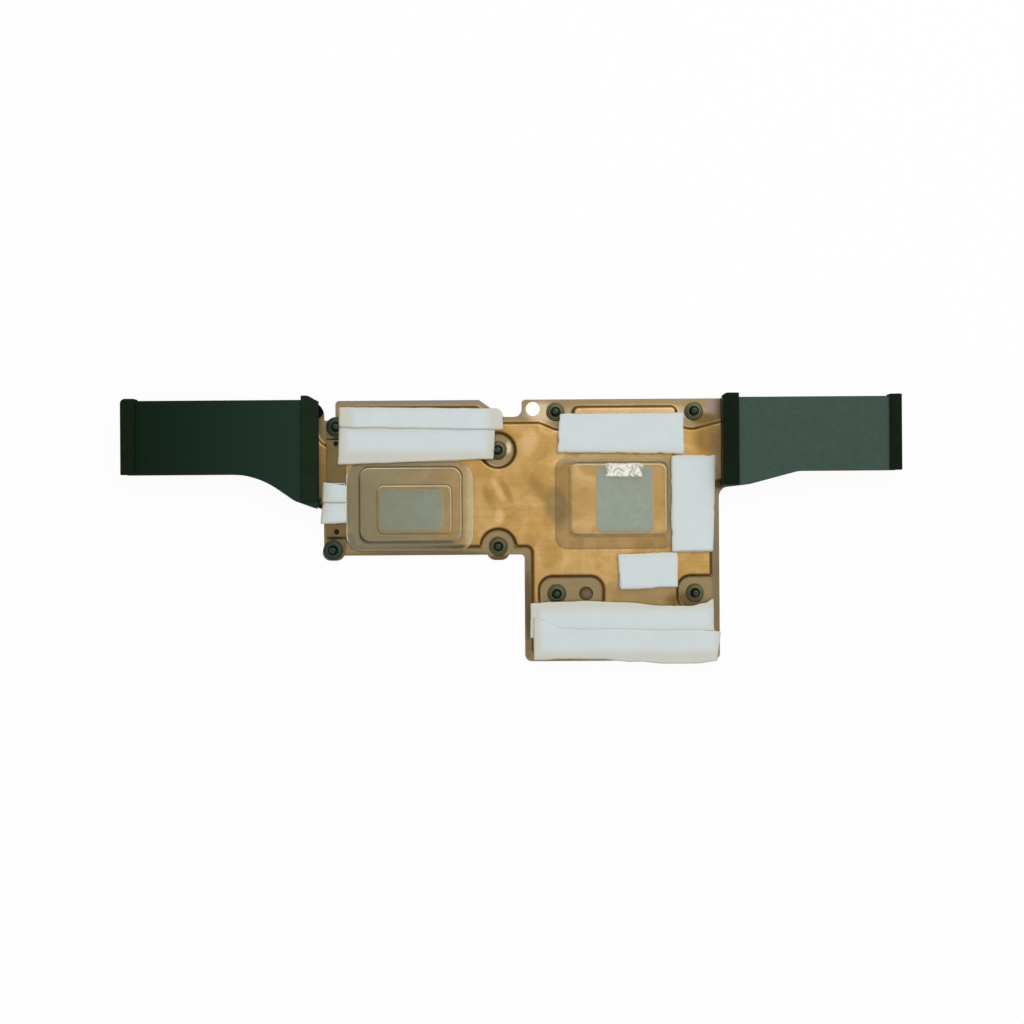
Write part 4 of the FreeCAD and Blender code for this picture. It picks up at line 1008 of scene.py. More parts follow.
def set_out_tree() -> Tree:
    """Builds the tree that sets copies of one piece on points.

    Returns:
        A tree with the inputs Piece, Spin, Seed and Finish; the points carry a length in "depth".
    """
    name = "set_out_on_points"
    known = bpy.data.node_groups.get(name)
    if known is not None:
        return known
    tree = bpy.data.node_groups.new(name, "GeometryNodeTree")
    tree.interface.new_socket("Points", in_out="INPUT", socket_type="NodeSocketGeometry")
    tree.interface.new_socket("Piece", in_out="INPUT", socket_type="NodeSocketObject")
    tree.interface.new_socket("Spin", in_out="INPUT", socket_type="NodeSocketFloat")
    tree.interface.new_socket("Seed", in_out="INPUT", socket_type="NodeSocketInt")
    tree.interface.new_socket("Finish", in_out="INPUT", socket_type="NodeSocketMaterial")
    tree.interface.new_socket("Pieces", in_out="OUTPUT", socket_type="NodeSocketGeometry")
    given = add_node(tree, "NodeGroupInput")
    one = add_node(tree, "GeometryNodeObjectInfo", {"Object": given.outputs["Piece"]})
    turn = add_node(tree, "FunctionNodeRandomValue", {2: 0.0, 3: given.outputs["Spin"],
                                                      "Seed": given.outputs["Seed"]}, data_type="FLOAT")
    angle = add_node(tree, "ShaderNodeCombineXYZ", {2: turn.outputs[1]})
    depth = add_node(tree, "GeometryNodeInputNamedAttribute", {"Name": "depth"}, data_type="FLOAT")
    scale = add_node(tree, "ShaderNodeCombineXYZ", {0: 1.0, 1: depth.outputs[0], 2: 1.0})
    copies = add_node(tree, "GeometryNodeInstanceOnPoints",
                      {"Points": given.outputs["Points"], "Instance": one.outputs["Geometry"],
                       "Rotation": angle.outputs[0], "Scale": scale.outputs[0]})
    real = add_node(tree, "GeometryNodeRealizeInstances", {0: copies.outputs[0]})
    dressed = add_node(tree, "GeometryNodeSetMaterial", {"Geometry": real.outputs[0],
                                                         "Material": given.outputs["Finish"]})
    add_node(tree, "NodeGroupOutput", {0: dressed.outputs[0]})
    return tree


def set_out(name: str, piece: Piece, spots: Sequence[Vector], depths: Sequence[float], finish: Finish,
            spin: float = 0.0, seed: int = 1) -> Piece:
    """Sets copies of one piece on points and makes them one plain mesh.

    Args:
        name: name of the result.
        piece: the piece to copy, which is used up.
        spots: points in mm.
        depths: length of each copy along Y, as a multiple of the piece's own.
        finish: finish of the copies.
        spin: most that a copy is turned, in radians.
        seed: number that fixes the turns.

    Returns:
        The copies as one object.
    """
    mesh = bpy.data.meshes.new(name)
    mesh.from_pydata([spot * MM for spot in spots], [], [])
    length = mesh.attributes.new("depth", "FLOAT", "POINT")
    length.data.foreach_set("value", list(depths))
    made = bpy.data.objects.new(name, mesh)
    bpy.context.scene.collection.objects.link(made)
    tree = set_out_tree()
    setting = made.modifiers.new("set_out", "NODES")
    setting.node_group = tree
    values = {"Piece": piece, "Spin": spin, "Seed": seed, "Finish": finish.material()}
    for socket in tree.interface.items_tree:
        if socket.in_out == "INPUT" and socket.name in values:
            setting[socket.identifier] = values[socket.name]
    applied(made)
    bpy.data.objects.remove(piece)
    return made


# Sub-assemblies


@dataclass
class VapourChamber:
    """Two formed copper shells with a wick of wire cloth and columns between them.

    Attributes:
        edge: width of the eased edges in mm.
    """

    edge: float = 0.45

    def build(self) -> None:
        """Makes both shells and dresses what is inside."""
        for node, finish in (("front_shell", COPPER), ("back_shell", BACK_COPPER)):
            hand_over(soft_copy(node, finish, self.edge, steps=3), finish, node)
        dress("wick_mesh", WICK)
        dress("support_columns", COLUMN_COPPER)


class Side(Enum):
    """Which arm a fin bank sits on."""

    LEFT = "left"
    RIGHT = "right"


@dataclass
class FinBank:
    """A bank of folded fins under a black film.

    Attributes:
        side: the arm that it sits on.
        film: finish of the film.
        pitch: distance between fins in mm.
        gauge: thickness of the fin sheet in mm.
        slit: gap between a fold and the next fin in mm.
        tuck: how far the fins stand back under the film at the front, in mm.
        near: how near along X a corner of the solid counts for a fin's front, in mm.
        film_edge: width of the film's eased edge in mm.
        film_lap: how far the film reaches past its solid, in mm.
    """

    side: Side
    film: Finish
    pitch: float = 0.725
    gauge: float = 0.12
    slit: float = 0.02
    tuck: float = 0.7
    near: float = 1.1
    film_edge: float = 0.05
    film_lap: float = 0.4

    def fin(self, height: float) -> Piece:
        """Makes one fin with its two folds, 1 mm deep.

        Args:
            height: height of the bank in mm.

        Returns:
            The fin.
        """
        fold, sheet = self.pitch - self.slit, self.gauge
        section = ((0, 0), (fold, 0), (fold, sheet), (sheet, sheet), (sheet, height - sheet),
                   (fold, height - sheet), (fold, height), (0, height))
        rings = [[Vector((x, y, z)) for x, z in section] for y in (0.0, 1.0)]
        return mesh_object("fin", *loft(rings), FIN_BLACK, 20.0)

    def fins(self) -> Piece:
        """Sets the fins out along the bank, each as deep as the bank is there.

        Returns:
            All fins as one piece.
        """
        node = f"{self.side.value}_fins"
        low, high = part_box(node)
        solid = [corner.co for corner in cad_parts[node].data.vertices]
        count = round((high.x - low.x) / MM / self.pitch)
        spots: Ring = []
        depths: list[float] = []
        for i in range(count):
            x = low.x / MM + i * (high.x - low.x) / MM / count
            beside = [corner.y for corner in solid if abs(corner.x / MM - x - self.pitch / 2) < self.near]
            front = min(beside, default=low.y) / MM + self.tuck
            spots.append(Vector((x, front, low.z / MM)))
            depths.append(high.y / MM - front)
        fin = self.fin((high.z - low.z) / MM)
        return set_out(f"{self.side.value}_folded_fins", fin, spots, depths, FIN_BLACK)

    def build(self) -> None:
        """Makes the fins and the film over them."""
        hand_over(self.fins(), FIN_BLACK, f"{self.side.value}_fins")
        node = f"{self.side.value}_fin_cover"
        cover = soft_copy(node, self.film, self.film_edge, steps=1, fine=self.film_edge, grow=self.film_lap)
        hand_over(cover, self.film, node)


@dataclass
class FoamSeals:
    """Foam tapes that close the gap between the fins and the case.

    Attributes:
        nodes: the four tapes, each with its finish.
        edge: width of the soft edge in mm.
        fill: how tight the foam is, from 0 to 1.
    """

    nodes: tuple[tuple[str, Finish], ...] = (("left_outer_seal", FOAM), ("left_inner_seal", PALER_FOAM),
                                             ("right_inner_seal", FOAM), ("right_outer_seal", FOAM))
    edge: float = 0.35
    fill: float = 0.5

    def build(self) -> None:
        """Makes each tape with soft edges."""
        for node, finish in self.nodes:
            piece = soft_copy(node, finish, self.edge, steps=3, fine=self.edge)
            hand_over(piece, finish, node, fill=self.fill)


@dataclass
class FixingBracket:
    """A spring-steel strip with an ear and a screw at each end.

    Attributes:
        edge: width of the eased bends in mm.
        fine: width of the eased cut edges in mm.
    """

    edge: float = 0.35
    fine: float = 0.1

    def build(self) -> None:
        """Makes the strip."""
        strip = soft_copy("bracket", STRIP_STEEL, self.edge, steps=3, fine=self.fine)
        hand_over(strip, STRIP_STEEL, "bracket")


class Fixing(Enum):
    """What a set of captive screws holds down."""

    GRAPHICS = "graphics"
    PROCESSOR = "processor"
    BRACKET = "bracket"


@dataclass
class CaptiveScrews:
    """A set of captive screws, each held by a turned retainer.

    Attributes:
        kind: what the set holds down.
        spots: axes in mm.
        seed: number that fixes how each screw is turned.
        outer: radius of the retainer in mm.
        ring: finish of the retainers.
        pin: finish of the screws.
        head: radius of the head in mm.
        head_height: height of the head in mm.
        shank: radius of the thread in mm.
        thread: pitch of the thread in mm.
        bore: radius of the retainer's bore in mm.
        cup: radius of the cup in the retainer's face, in mm.
        sides: points to a ring.
    """

    kind: Fixing
    spots: tuple[Point, ...]
    seed: int
    outer: float = 2.9
    ring: Finish = RING_STEEL
    pin: Finish = SCREW_STEEL
    head: float = 2.4
    head_height: float = 0.95
    shank: float = 1.0
    thread: float = 0.4
    bore: float = 1.12
    cup: float = 1.5
    sides: int = 48

    def screw(self, low: float, high: float, bare: float) -> Piece:
        """Makes one screw, head down.

        Args:
            low: height of the head's face in mm.
            high: height of the tip in mm.
            bare: height in mm at which the thread begins.

        Returns:
            The screw.
        """
        seat = low + self.head_height
        plan = [(0.72, low + 0.55, 0.14), (0.72, low + 0.06, 0.14), (0.80, low, 0.14),
                (self.head - 0.35, low, 0.0), (self.head - 0.1, low + 0.08, 0.0),
                (self.head, low + 0.25, 0.0), (self.head, seat - 0.1, 0.0), (self.head - 0.08, seat, 0.0),
                (self.shank, seat, 0.0), (self.shank, bare, 0.0)]
        turns = int((high - bare - 0.35) / self.thread)
        for i in range(turns):
            foot = bare + i * self.thread
            plan += [(self.shank * 0.86, foot + 0.12, 0.0), (self.shank * 0.86, foot + 0.2, 0.0),
                     (self.shank, foot + 0.32, 0.0), (self.shank, foot + self.thread, 0.0)]
        plan += [(self.shank * 0.82, high - 0.12, 0.0), (self.shank * 0.6, high, 0.0),
                 (self.shank * 0.45, high, 0.0), (self.shank * 0.3, high - 0.12, 0.0)]
        rings = [turned_ring(radius, height, self.sides, lobe) for radius, height, lobe in plan]
        return mesh_object("screw", *loft(rings), self.pin, 32.0)

    def retainer(self, low: float, high: float) -> Piece:
        """Makes one stepped retaining ring.

        Args:
            low: height of its seat in mm.
            high: height of its face in mm.

        Returns:
            The ring.
        """
        wide, tall = self.outer, high - low
        plan = [(self.bore, low), (wide - 0.1, low), (wide, low + 0.1), (wide, low + tall * 0.55),
                (wide - 0.15, low + tall * 0.72), (wide - 0.5, low + tall * 0.76),
                (wide - 0.62, low + tall * 0.95), (wide - 0.75, high), (self.cup + 0.2, high),
                (self.cup + 0.05, high - 0.12), (self.cup, high - 0.4), (self.bore + 0.08, high - 0.45),
                (self.bore, high - 0.5)]
        rings = [turned_ring(radius, height, self.sides) for radius, height in plan]
        return mesh_object("retainer", *loft(rings, wrap=True), self.ring, 32.0)

    def build(self) -> None:
        """Sets out the screws and their retainers."""
        kind = self.kind.value
        ring_low, ring_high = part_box(f"{kind}_retainers")
        low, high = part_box(f"{kind}_screws")
        seats = [Vector((x, y, 0.0)) for x, y in self.spots]
        ones = [1.0] * len(seats)
        ring = self.retainer(ring_low.z / MM, ring_high.z / MM)
        rings = set_out(f"{kind}_turned_retainers", ring, seats, ones, self.ring, FULL_TURN, self.seed)
        hand_over(rings, self.ring, f"{kind}_retainers")
        screw = self.screw(low.z / MM, high.z / MM, ring_high.z / MM - 0.3)
        screws = set_out(f"{kind}_captive_screws", screw, seats, ones, self.pin, FULL_TURN, self.seed)
        hand_over(screws, self.pin, f"{kind}_screws")


@dataclass
class PastePatch:
    """A pressed patch of thermal paste.

    Attributes:
        node: the solid that it stands for.
        ragged: how uneven its edge is, in mm.
        radius: corner radius in mm.
    """

    node: str
    ragged: float = 0.35
    radius: float = 2.0

    def build(self) -> None:
        """Makes the patch with thin, uneven edges."""
        low, high = (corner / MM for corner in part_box(self.node))
        walk = rounded_outline(low.xy, high.xy, self.radius, (24, 20))
        levels = ((-0.3, low.z, 0.0), (-0.1, low.z + 0.04, 0.1), (0.2, high.z - 0.02, 0.45),
                  (0.6, high.z, 0.9), (1.0, high.z, 1.0))
        rings = []
        for inset, height, _ in levels:
            ring = []
            for x, y, nx, ny in walk:
                wobble = self.ragged * noise.noise(Vector((x * 0.55, y * 0.55, low.x))) - self.ragged * 0.6
                shift = wobble - inset
                ring.append(Vector((x + nx * shift, y + ny * shift, height)))
            rings.append(ring)
        piece = mesh_object(f"{self.node}_patch", *loft(rings), PASTE)
        thick = [share for _, _, share in levels for _ in walk]
        piece.data.attributes.new("thick", "FLOAT", "POINT").data.foreach_set("value", thick)
        hand_over(piece, PASTE, self.node)


@dataclass(frozen=True)
class Step:
    """One raised step of a formed sheet.

    Attributes:
        low: front left corner of its foot in mm.
        high: rear right corner of its foot in mm.
        radius: corner radius of its foot in mm.
        rise: height of the step in mm.
        run: width of its sloping wall in mm.
        slide: how much wider its front wall is, in mm.
    """

    low: Point
    high: Point
    radius: float
    rise: float
    run: float
    slide: float = 0.0


@dataclass
class FormedFilm:
    """A clear sheet, vacuum formed over a processor's die and frame.

    Attributes:
        node: the solid that it stands for.
        finish: its finish.
        flange_radius: corner radius of the flange in mm.
        steps: its steps from the flange up.
        reach: how far the flange runs on at the left and at the right, in mm.
        cut: how strong the painted highlight along the flange's left edge is, up to 2.
        gauge: thickness of the sheet in mm.
        seat: height of the flange's face over its foot in mm.
        folds: rings to a wall.
        runs: pieces that its sides are divided into, along X and along Y.
    """

    node: str
    finish: Finish
    flange_radius: float
    steps: tuple[Step, ...]
    reach: Point = (0.0, 0.0)
    cut: float = 0.4
    gauge: float = 0.12
    seat: float = 0.25
    folds: int = 8
    runs: tuple[int, int] = (20, 16)

    def build(self) -> None:
        """Makes the flange, the rounded walls and the flat tops."""
        low, high = (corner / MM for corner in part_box(self.node))
        level = low.z + self.seat
        total = sum(step.rise for step in self.steps)
        low.x, high.x = low.x - self.reach[0], high.x + self.reach[1]
        walk = rounded_outline(low.xy, high.xy, self.flange_radius, self.runs)
        lip = ((0.0, low.z + self.gauge), (0.2, level - 0.05), (0.4, level), (0.7, level))
        rings = [[Vector((x - nx * inset, y - ny * inset, height)) for x, y, nx, ny in walk]
                 for inset, height in lip]
        # Fold shares on the flange, raised along its left edge for a painted highlight there
        folds = [[share * (self.cut if x < low.x + 0.4 else 0.4) for x, _, _, _ in walk]
                 for share in (0.9, 1.0, 0.6, 0.0)]
        for step in self.steps:
            for i in range(self.folds + 1):
                part = i / self.folds
                inset = -0.1 + (step.run + 0.2) * part
                height = level + step.rise * part * part * (3 - 2 * part)
                walk = rounded_outline((step.low[0] + inset, step.low[1] + inset + step.slide * part),
                                       (step.high[0] - inset, step.high[1] - inset),
                                       max(step.radius - inset * 0.5, 0.6), self.runs)
                rings.append([Vector((x, y, height)) for x, y, _, _ in walk])
                folds.append([-math.sin(2 * math.pi * part)] * len(walk))
            level += step.rise
        last = self.steps[-1]
        inset = last.run + 1.2
        walk = rounded_outline((last.low[0] + inset, last.low[1] + inset + last.slide),
                               (last.high[0] - inset, last.high[1] - inset), 0.8, self.runs)
        rings.append([Vector((x, y, level)) for x, y, _, _ in walk])
        folds.append([0.0] * len(walk))
        piece = mesh_object(f"{self.node}_formed", *loft(rings, floor=False), self.finish, 60.0)
        lifts = [min(1.0, max(0.0, (point.z - low.z - self.seat) / total))
                 for ring in rings for point in ring]
        piece.data.attributes.new("lift", "FLOAT", "POINT").data.foreach_set("value", lifts)
        bends = [share for ring in folds for share in ring]
        piece.data.attributes.new("fold", "FLOAT", "POINT").data.foreach_set("value", bends)
        sheet = piece.modifiers.new("gauge", "SOLIDIFY")
        sheet.thickness = self.gauge * MM
        sheet.offset = -1.0
        # Sheet this clear throws hardly any shadow
        applied(piece).visible_shadow = False
        hand_over(piece, self.finish, self.node)


# Corner radii in mm of a liner that was cut square
SQUARE = (0.2, 0.2, 0.2, 0.2)


class Layer(Enum):
    """Where a liner lies when two of them overlap, as its height over the pad in mm."""

    LOWER = 0.04
    UPPER = 0.30


@dataclass
class ThermalPad:
    """A soft pad with its release liner still on.

    Attributes:
        name: name of the pad's solid.
        corners: liner's corners in mm, front left, front right, rear right and rear left.
        layer: where its liner lies.
        tear: how ragged the liner's long edges are, in mm.
        wave: how far the liner stands off, in mm.
        rounds: radius of the liner's corners in mm, in the order of the corners.
        seed: number that fixes its waves.
        shows: front left and rear right corner in mm of what shows through the liner, where that is not
            its solid.
        rear: moves of the liner's rear edge in mm, each at a share of its width.
        front: moves of the liner's front edge in mm, each at a share of its width.
        cell: size of the liner's faces in mm.
        gauge: thickness of the liner in mm.
        fill: how tight the pad is, from 0 to 1.
    """

    name: str
    corners: tuple[Point, Point, Point, Point]
    layer: Layer = Layer.LOWER
    tear: float = 0.12
    wave: float = 0.16
    rounds: tuple[float, float, float, float] = SQUARE
    seed: float = 1.0
    shows: tuple[Point, Point] | None = None
    rear: tuple[Point, ...] = ()
    front: tuple[Point, ...] = ()
    cell: float = 0.75
    gauge: float = 0.06
    fill: float = 0.9

    def place(self) -> tuple[Vector, Vector]:
        """Gives the pad's lowest and highest corner in mm.

        Returns:
            Both corners.
        """
        low, high = (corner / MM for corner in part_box(self.name))
        if self.shows is not None:
            (left, front), (right, rear) = self.shows
            low.xy = max(low.x, left), max(low.y, front)
            high.xy = min(high.x, right), min(high.y, rear)
        return low, high

    def pad(self) -> Piece:
        """Makes the pad, with soft edges and slightly bulging sides.

        Returns:
            The pad.
        """
        low, high = self.place()
        runs = (max(3, round((high.x - low.x) / 1.6)), max(3, round((high.y - low.y) / 1.6)))
        walk = rounded_outline(low.xy, high.xy, 0.5, runs, 3)
        tall = high.z - low.z
        plan = ((0.14, 0.0), (0.02, 0.12), (-0.04, 0.5), (0.02, 0.86), (0.16, 0.98), (0.6, 1.0))
        rings = []
        for inset, share in plan:
            ring = []
            for x, y, nx, ny in walk:
                shift = 0.12 * noise.noise(Vector((x * 0.3, y * 0.3, self.seed))) - inset - 0.05
                ring.append(Vector((x + nx * shift, y + ny * shift, low.z + tall * share)))
            rings.append(ring)
        return mesh_object(f"{self.name}_soft", *loft(rings), PAD)

    def liner(self) -> Piece:
        """Makes the liner as a thin waved sheet with torn edges.

        Returns:
            The liner.
        """
        low, high = self.place()
        (left, near), (right, distant) = self.shows or (low.xy, high.xy)
        front_left, front_right, rear_right, rear_left = (Vector(corner) for corner in self.corners)
        wide = (front_right - front_left).length
        deep = (rear_left - front_left).length
        across, along = max(6, round(wide / self.cell)), max(6, round(deep / self.cell))
        points: Ring = []
        over: list[float] = []
        for j in range(along + 1):
            for i in range(across + 1):
                u, v = self.eased(i / across * wide, j / along * deep, wide, deep)
                flat = front_left.lerp(front_right, u).lerp(rear_left.lerp(rear_right, u), v)
                flat += self.fray(flat, u, v)
                flat.y += self.bow(self.rear, u) * v * v + self.bow(self.front, u) * (1 - v) ** 2
                height = high.z + self.layer.value + self.lift(flat, u, v, low, high)
                points.append(Vector((flat.x, flat.y, height)))
                gap = max(left - flat.x, flat.x - right, near - flat.y, flat.y - distant)
                over.append(min(1.0, max(0.0, 0.5 - gap / 2.6)))
        row = across + 1
        faces = [(j * row + i, j * row + i + 1, (j + 1) * row + i + 1, (j + 1) * row + i)
                 for j in range(along) for i in range(across)]
        piece = mesh_object(f"{self.name}_release_liner", points, faces, LINER, 60.0)
        piece.data.attributes.new("over_pad", "FLOAT", "POINT").data.foreach_set("value", over)
        sheet = piece.modifiers.new("gauge", "SOLIDIFY")
        sheet.thickness = self.gauge * MM
        sheet.offset = 1.0
        return applied(piece)

    def eased(self, a: float, b: float, wide: float, deep: float) -> Point:
        """Rounds the sheet's corners.

        Args:
            a: distance from the left edge in mm.
            b: distance from the front edge in mm.
            wide: width of the sheet in mm.
            deep: depth of the sheet in mm.

        Returns:
            Shares of the width and the depth.
        """
        right, rear = a > wide / 2, b > deep / 2
        radius = self.rounds[(2 if right else 3) if rear else int(right)]
        middle = Vector((min(max(a, radius), wide - radius), min(max(b, radius), deep - radius)))
        away = Vector((a, b)) - middle
        if away.length > radius:
            away *= radius / away.length
        spot = middle + away
        return spot.x / wide, spot.y / deep

    def bow(self, moves: tuple[Point, ...], u: float) -> float:
        """Reads how far an edge is moved at one place.

        Args:
            moves: moves of the edge in mm, each at a share of its width.
            u: share of the width.

        Returns:
            The move in mm.
        """
        for (start, low), (stop, high) in zip(moves, moves[1:]):
            if start <= u <= stop:
                part = (u - start) / (stop - start)
                return low + (high - low) * part * part * (3 - 2 * part)
        return 0.0

    def fray(self, flat: Vector, u: float, v: float) -> Vector:
        """Moves a point near an edge in or out, as scissors and tearing leave it.

        Args:
            flat: the point in mm.
            u: share of the width.
            v: share of the depth.

        Returns:
            The move in mm.
        """
        slow = noise.noise(Vector((flat.x * 0.13, flat.y * 0.13, self.seed)))
        quick = noise.noise(Vector((flat.x * 0.75, flat.y * 0.75, self.seed + 7)))
        bite = min(0.0, noise.noise(Vector((flat.x * 0.42, flat.y * 0.42, self.seed + 3))) + 0.15)
        out = slow * 0.22 + self.tear * (quick + bite * 4)
        return Vector((out * (u ** 40 - (1 - u) ** 40), out * (v ** 16 - (1 - v) ** 16)))

    def lift(self, flat: Vector, u: float, v: float, low: Vector, high: Vector) -> float:
        """Gives the height of the liner over its lowest place.

        Args:
            flat: the point in mm.
            u: share of the width.
            v: share of the depth.
            low: lowest corner of the pad in mm.
            high: highest corner of the pad in mm.

        Returns:
            The height in mm.
        """
        roll = noise.noise(Vector((flat.x * 0.09, flat.y * 0.16, self.seed + 11))) + 0.4
        edge = max(abs(2 * u - 1) ** 8, abs(2 * v - 1) ** 5)
        gap = max(low.x - flat.x, flat.x - high.x, low.y - flat.y, flat.y - high.y, 0.0)
        return max(0.0, self.wave * (0.35 + edge) * roll) - min(0.12, gap * 0.05)

    def build(self) -> None:
        """Makes the pad and its liner."""
        hand_over(self.pad(), PAD, self.name, fill=self.fill)
        hand_over(self.liner(), LINER, f"{self.name}_liner")


@dataclass
class Studio:
    """A pale floor, soft light from above and a camera straight above the part.

    Attributes:
        at: camera's place in mm.
        turn: its turn about the vertical in degrees.
        view: width of its view in mm, at its distance from the chamber's face.
        away: that distance in mm.
        horizon: strength of the sky at its foot.
        zenith: strength of the sky overhead.
        lean: share of the sky at the front left and at the rear right.
        key: power of the lamp in watts.
        key_size: side of the lamp in mm.
        key_at: the lamp's place in mm.
        key_aim: the place in mm that it points at.
        half: half the floor's side in mm.
    """

    at: tuple[float, float, float] = (0.123, 5.718, 562.8)
    turn: float = -0.40
    view: float = 340.5
    away: float = 560.0
    horizon: float = 0.34
    zenith: float = 0.88
    lean: Point = (0.85, 1.15)
    key: float = 3.2
    key_size: float = 900.0
    key_at: tuple[float, float, float] = (350.0, 500.0, 750.0)
    key_aim: tuple[float, float, float] = (20.0, 0.0, 0.0)
    half: float = 900.0

    def floor(self) -> None:
        """Lays the floor, white to the camera and to reflections, with the part's shadow on it."""
        corners = [Vector((x * self.half, y * self.half, -0.02))
                   for x, y in ((-1, -1), (1, -1), (1, 1), (-1, 1))]
        piece = mesh_object("floor", corners, [(0, 1, 2, 3)], FLOOR)
        tree = piece.data.materials[0].node_tree
        path = add_node(tree, "ShaderNodeLightPath")
        seen = add_node(tree, "ShaderNodeMath", {0: path.outputs["Is Camera Ray"],
                                                 1: path.outputs["Is Glossy Ray"]}, operation="MAXIMUM")
        seen = add_node(tree, "ShaderNodeMath", {0: seen.outputs[0], 1: path.outputs["Is Transmission Ray"]},
                        operation="MAXIMUM")
        share = add_node(tree, "ShaderNodeMath", {0: seen.outputs[0], 1: 0.94}, operation="MULTIPLY")
        white = add_node(tree, "ShaderNodeEmission", {"Strength": 1.0})
        both = add_node(tree, "ShaderNodeMixShader", {0: share.outputs[0],
                                                      1: tree.nodes["Principled BSDF"].outputs[0],
                                                      2: white.outputs[0]})
        tree.links.new(both.outputs[0], tree.nodes["Material Output"].inputs["Surface"])

    def light(self) -> None:
        """Sets a white sky, brightest overhead, and one large soft lamp behind the part, to the right."""
        world = bpy.data.worlds.new("studio")
        world.use_nodes = True
        bpy.context.scene.world = world
        tree = world.node_tree
        sight = add_node(tree, "ShaderNodeTexCoord")
        way = add_node(tree, "ShaderNodeSeparateXYZ", {0: sight.outputs["Generated"]})
        lean = add_node(tree, "ShaderNodeMath", {0: way.outputs["X"], 1: way.outputs["Y"]}, operation="ADD")
        side = add_node(tree, "ShaderNodeMapRange", {"Value": lean.outputs[0], "From Min": -0.6,
                                                     "From Max": 0.6, "To Min": self.lean[0],
                                                     "To Max": self.lean[1]})
        high = add_node(tree, "ShaderNodeMapRange", {"Value": way.outputs["Z"], "From Min": 0.15,
                                                     "From Max": 0.75, "To Min": self.horizon,
                                                     "To Max": self.zenith})
        sky = add_node(tree, "ShaderNodeMath", {0: side.outputs[0], 1: high.outputs[0]}, operation="MULTIPLY")
        path = add_node(tree, "ShaderNodeLightPath")
        level = add_node(tree, "ShaderNodeMapRange", {"Value": path.outputs["Is Camera Ray"],
                                                      "To Min": sky.outputs[0], "To Max": 1.0})
        tree.links.new(level.outputs[0], tree.nodes["Background"].inputs["Strength"])
        tree.nodes["Background"].inputs["Color"].default_value = (1.0, 1.0, 1.0, 1.0)
        lamp = bpy.data.lights.new("key", "AREA")
        lamp.energy = self.key
        lamp.size = self.key_size * MM
        holder = bpy.data.objects.new("key", lamp)
        holder.location = Vector(self.key_at) * MM
        aim = Vector(self.key_aim) * MM - holder.location
        holder.rotation_euler = aim.to_track_quat("-Z", "Y").to_euler()
        bpy.context.scene.collection.objects.link(holder)

    def camera(self) -> None:
        """Hangs the camera over the part."""
        lens = bpy.data.cameras.new("camera")
        lens.sensor_fit = "HORIZONTAL"
        lens.angle = 2 * math.atan(self.view / 2 / self.away)
        lens.clip_start = 0.01
        holder = bpy.data.objects.new("camera", lens)
        holder.location = Vector(self.at) * MM
        holder.rotation_euler = (0.0, 0.0, math.radians(self.turn))
        bpy.context.scene.collection.objects.link(holder)
        bpy.context.scene.camera = holder

    def build(self) -> None:
        """Sets the floor, the light, the camera and the plain view."""
        self.floor()
        self.light()
        self.camera()
        bpy.context.scene.view_settings.view_transform = "Standard"


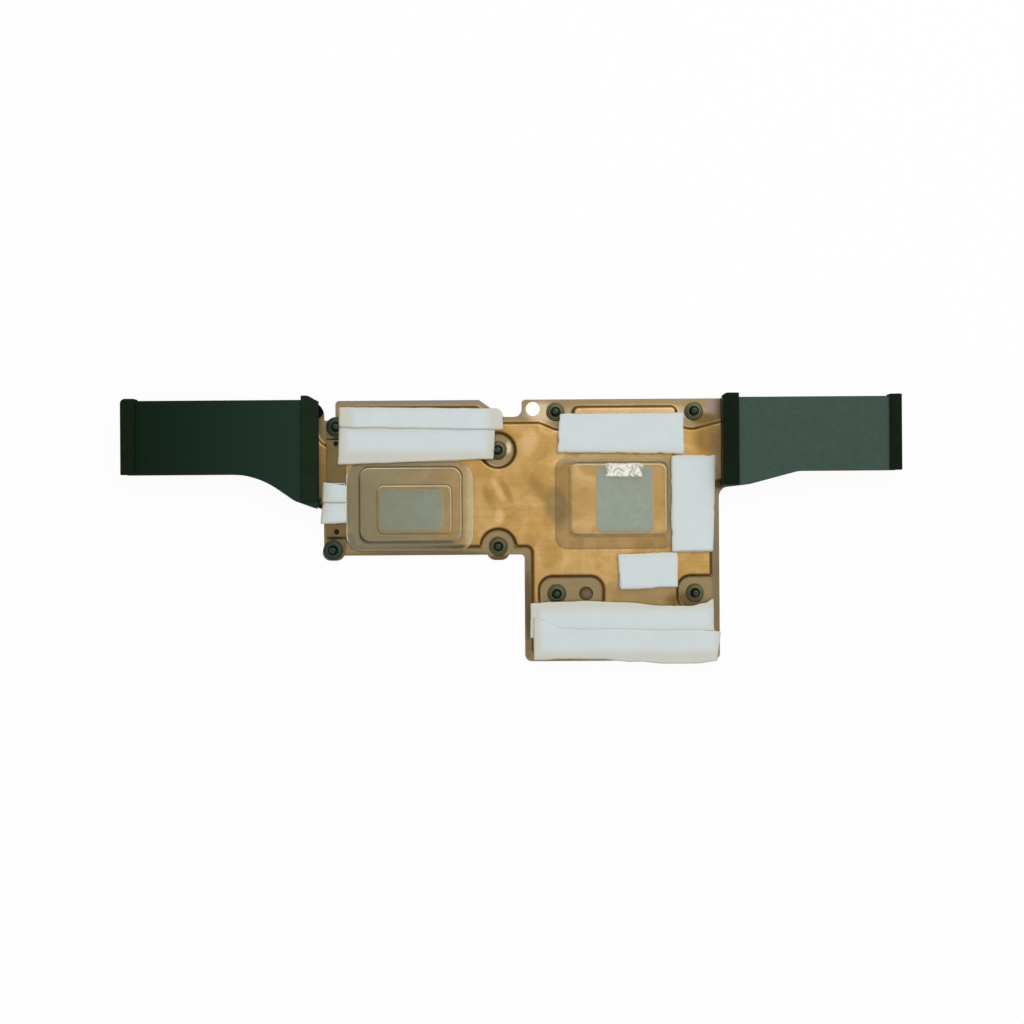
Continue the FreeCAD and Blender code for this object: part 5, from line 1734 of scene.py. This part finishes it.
PADS = (
    ThermalPad("choke_pad_rear", ((-57.1, 34.2), (-2.6, 33.0), (-2.9, 40.1), (-57.1, 40.9)), Layer.UPPER,
               tear=0.06, wave=0.10, rounds=(0.2, 0.2, 2.2, 0.2), seed=1.0,
               shows=((-52.4, 31.0), (-7.9, 40.2))),
    ThermalPad("choke_pad_front", ((-57.7, 21.8), (-5.9, 23.4), (-5.4, 34.0), (-57.0, 35.0)), Layer.LOWER,
               tear=0.05, wave=0.06, seed=2.0, shows=((-54.9, 26.0), (-8.0, 33.0))),
    ThermalPad("driver_pad_rear", ((-62.9, 9.3), (-54.7, 9.2), (-54.4, 14.8), (-62.6, 16.1)), Layer.UPPER,
               tear=0.05, wave=0.10, seed=3.0),
    ThermalPad("driver_pad_front", ((-63.4, 2.2), (-54.8, 2.6), (-54.6, 9.3), (-62.6, 9.5)), Layer.LOWER,
               tear=0.05, wave=0.06, seed=4.0),
    ThermalPad("memory_pad_rear", ((15.4, 25.4), (57.2, 24.6), (57.2, 38.3), (15.9, 38.2)), Layer.UPPER,
               tear=0.2, wave=0.08, seed=5.0, shows=((15.0, 26.2), (60.0, 38.2))),
    ThermalPad("memory_pad_side", ((53.0, -7.8), (66.7, -7.5), (67.9, 24.3), (53.0, 24.2)), Layer.LOWER,
               tear=0.14, wave=0.06, seed=6.0),
    ThermalPad("memory_pad_front", ((35.9, -20.3), (55.0, -19.5), (55.0, -7.9), (35.1, -8.5)), Layer.LOWER,
               tear=0.16, wave=0.08, seed=7.0),
    ThermalPad("power_pad_rear", ((5.9, -36.2), (66.8, -34.3), (66.8, -23.4), (5.9, -24.5)), Layer.LOWER,
               tear=0.06, wave=0.06, seed=8.0, shows=((9.4, -33.4), (66.0, -26.9)),
               rear=((0.0, 0.0), (0.25, 0.3), (0.5, -0.5), (0.72, -1.9), (0.87, -2.3), (0.95, -1.4),
                     (1.0, 0.0))),
    ThermalPad("power_pad_front", ((7.0, -43.5), (67.8, -43.5), (69.1, -34.3), (7.0, -29.3)), Layer.UPPER,
               tear=0.05, wave=0.12, seed=9.0, shows=((9.4, -40.8), (67.5, -29.0)),
               rear=((0.0, 0.0), (0.07, -1.2), (0.14, -2.7), (0.2, -2.9), (0.5, -1.6), (1.0, 0.0)),
               front=((0.0, 0.0), (0.2, 0.35), (0.35, 0.2), (0.55, -0.8), (0.75, -1.5), (0.9, -1.5),
                      (1.0, -0.6))),
)

FILMS = (
    FormedFilm("processor_film", HAZY_SHEET, flange_radius=5.4, reach=(0.7, 0.0), cut=1.9,
               steps=(Step((-51.0, -5.6), (-16.1, 21.2), radius=3.6, rise=1.2, run=0.9, slide=1.6),
                      Step((-45.0, -1.9), (-19.5, 15.2), radius=2.2, rise=0.9, run=0.8))),
    FormedFilm("graphics_film", CLEAR_SHEET, flange_radius=4.0, reach=(0.0, 1.2),
               steps=(Step((18.7, -3.05), (52.3, 22.4), radius=2.6, rise=1.5, run=1.4),)),
)

SCREWS = (
    CaptiveScrews(Fixing.GRAPHICS, GRAPHICS_AXES, seed=3),
    CaptiveScrews(Fixing.PROCESSOR, PROCESSOR_AXES, seed=5),
    CaptiveScrews(Fixing.BRACKET, BRACKET_AXES, seed=8, outer=3.3, ring=EAR_STEEL, pin=EAR_STEEL),
)


def main() -> None:
    """Builds the heatsink piece by piece, then the studio round it."""
    logging.basicConfig(level=logging.INFO, format="%(name)s %(message)s")
    VapourChamber().build()
    FinBank(Side.LEFT, LEFT_FILM).build()
    FinBank(Side.RIGHT, RIGHT_FILM).build()
    FoamSeals().build()
    FixingBracket().build()
    for screws in SCREWS:
        screws.build()
    for node in ("processor_paste", "graphics_paste"):
        PastePatch(node).build()
    for film in FILMS:
        film.build()
    for pad in PADS:
        pad.build()
    Studio().build()


if __name__ == "__main__":
    main()
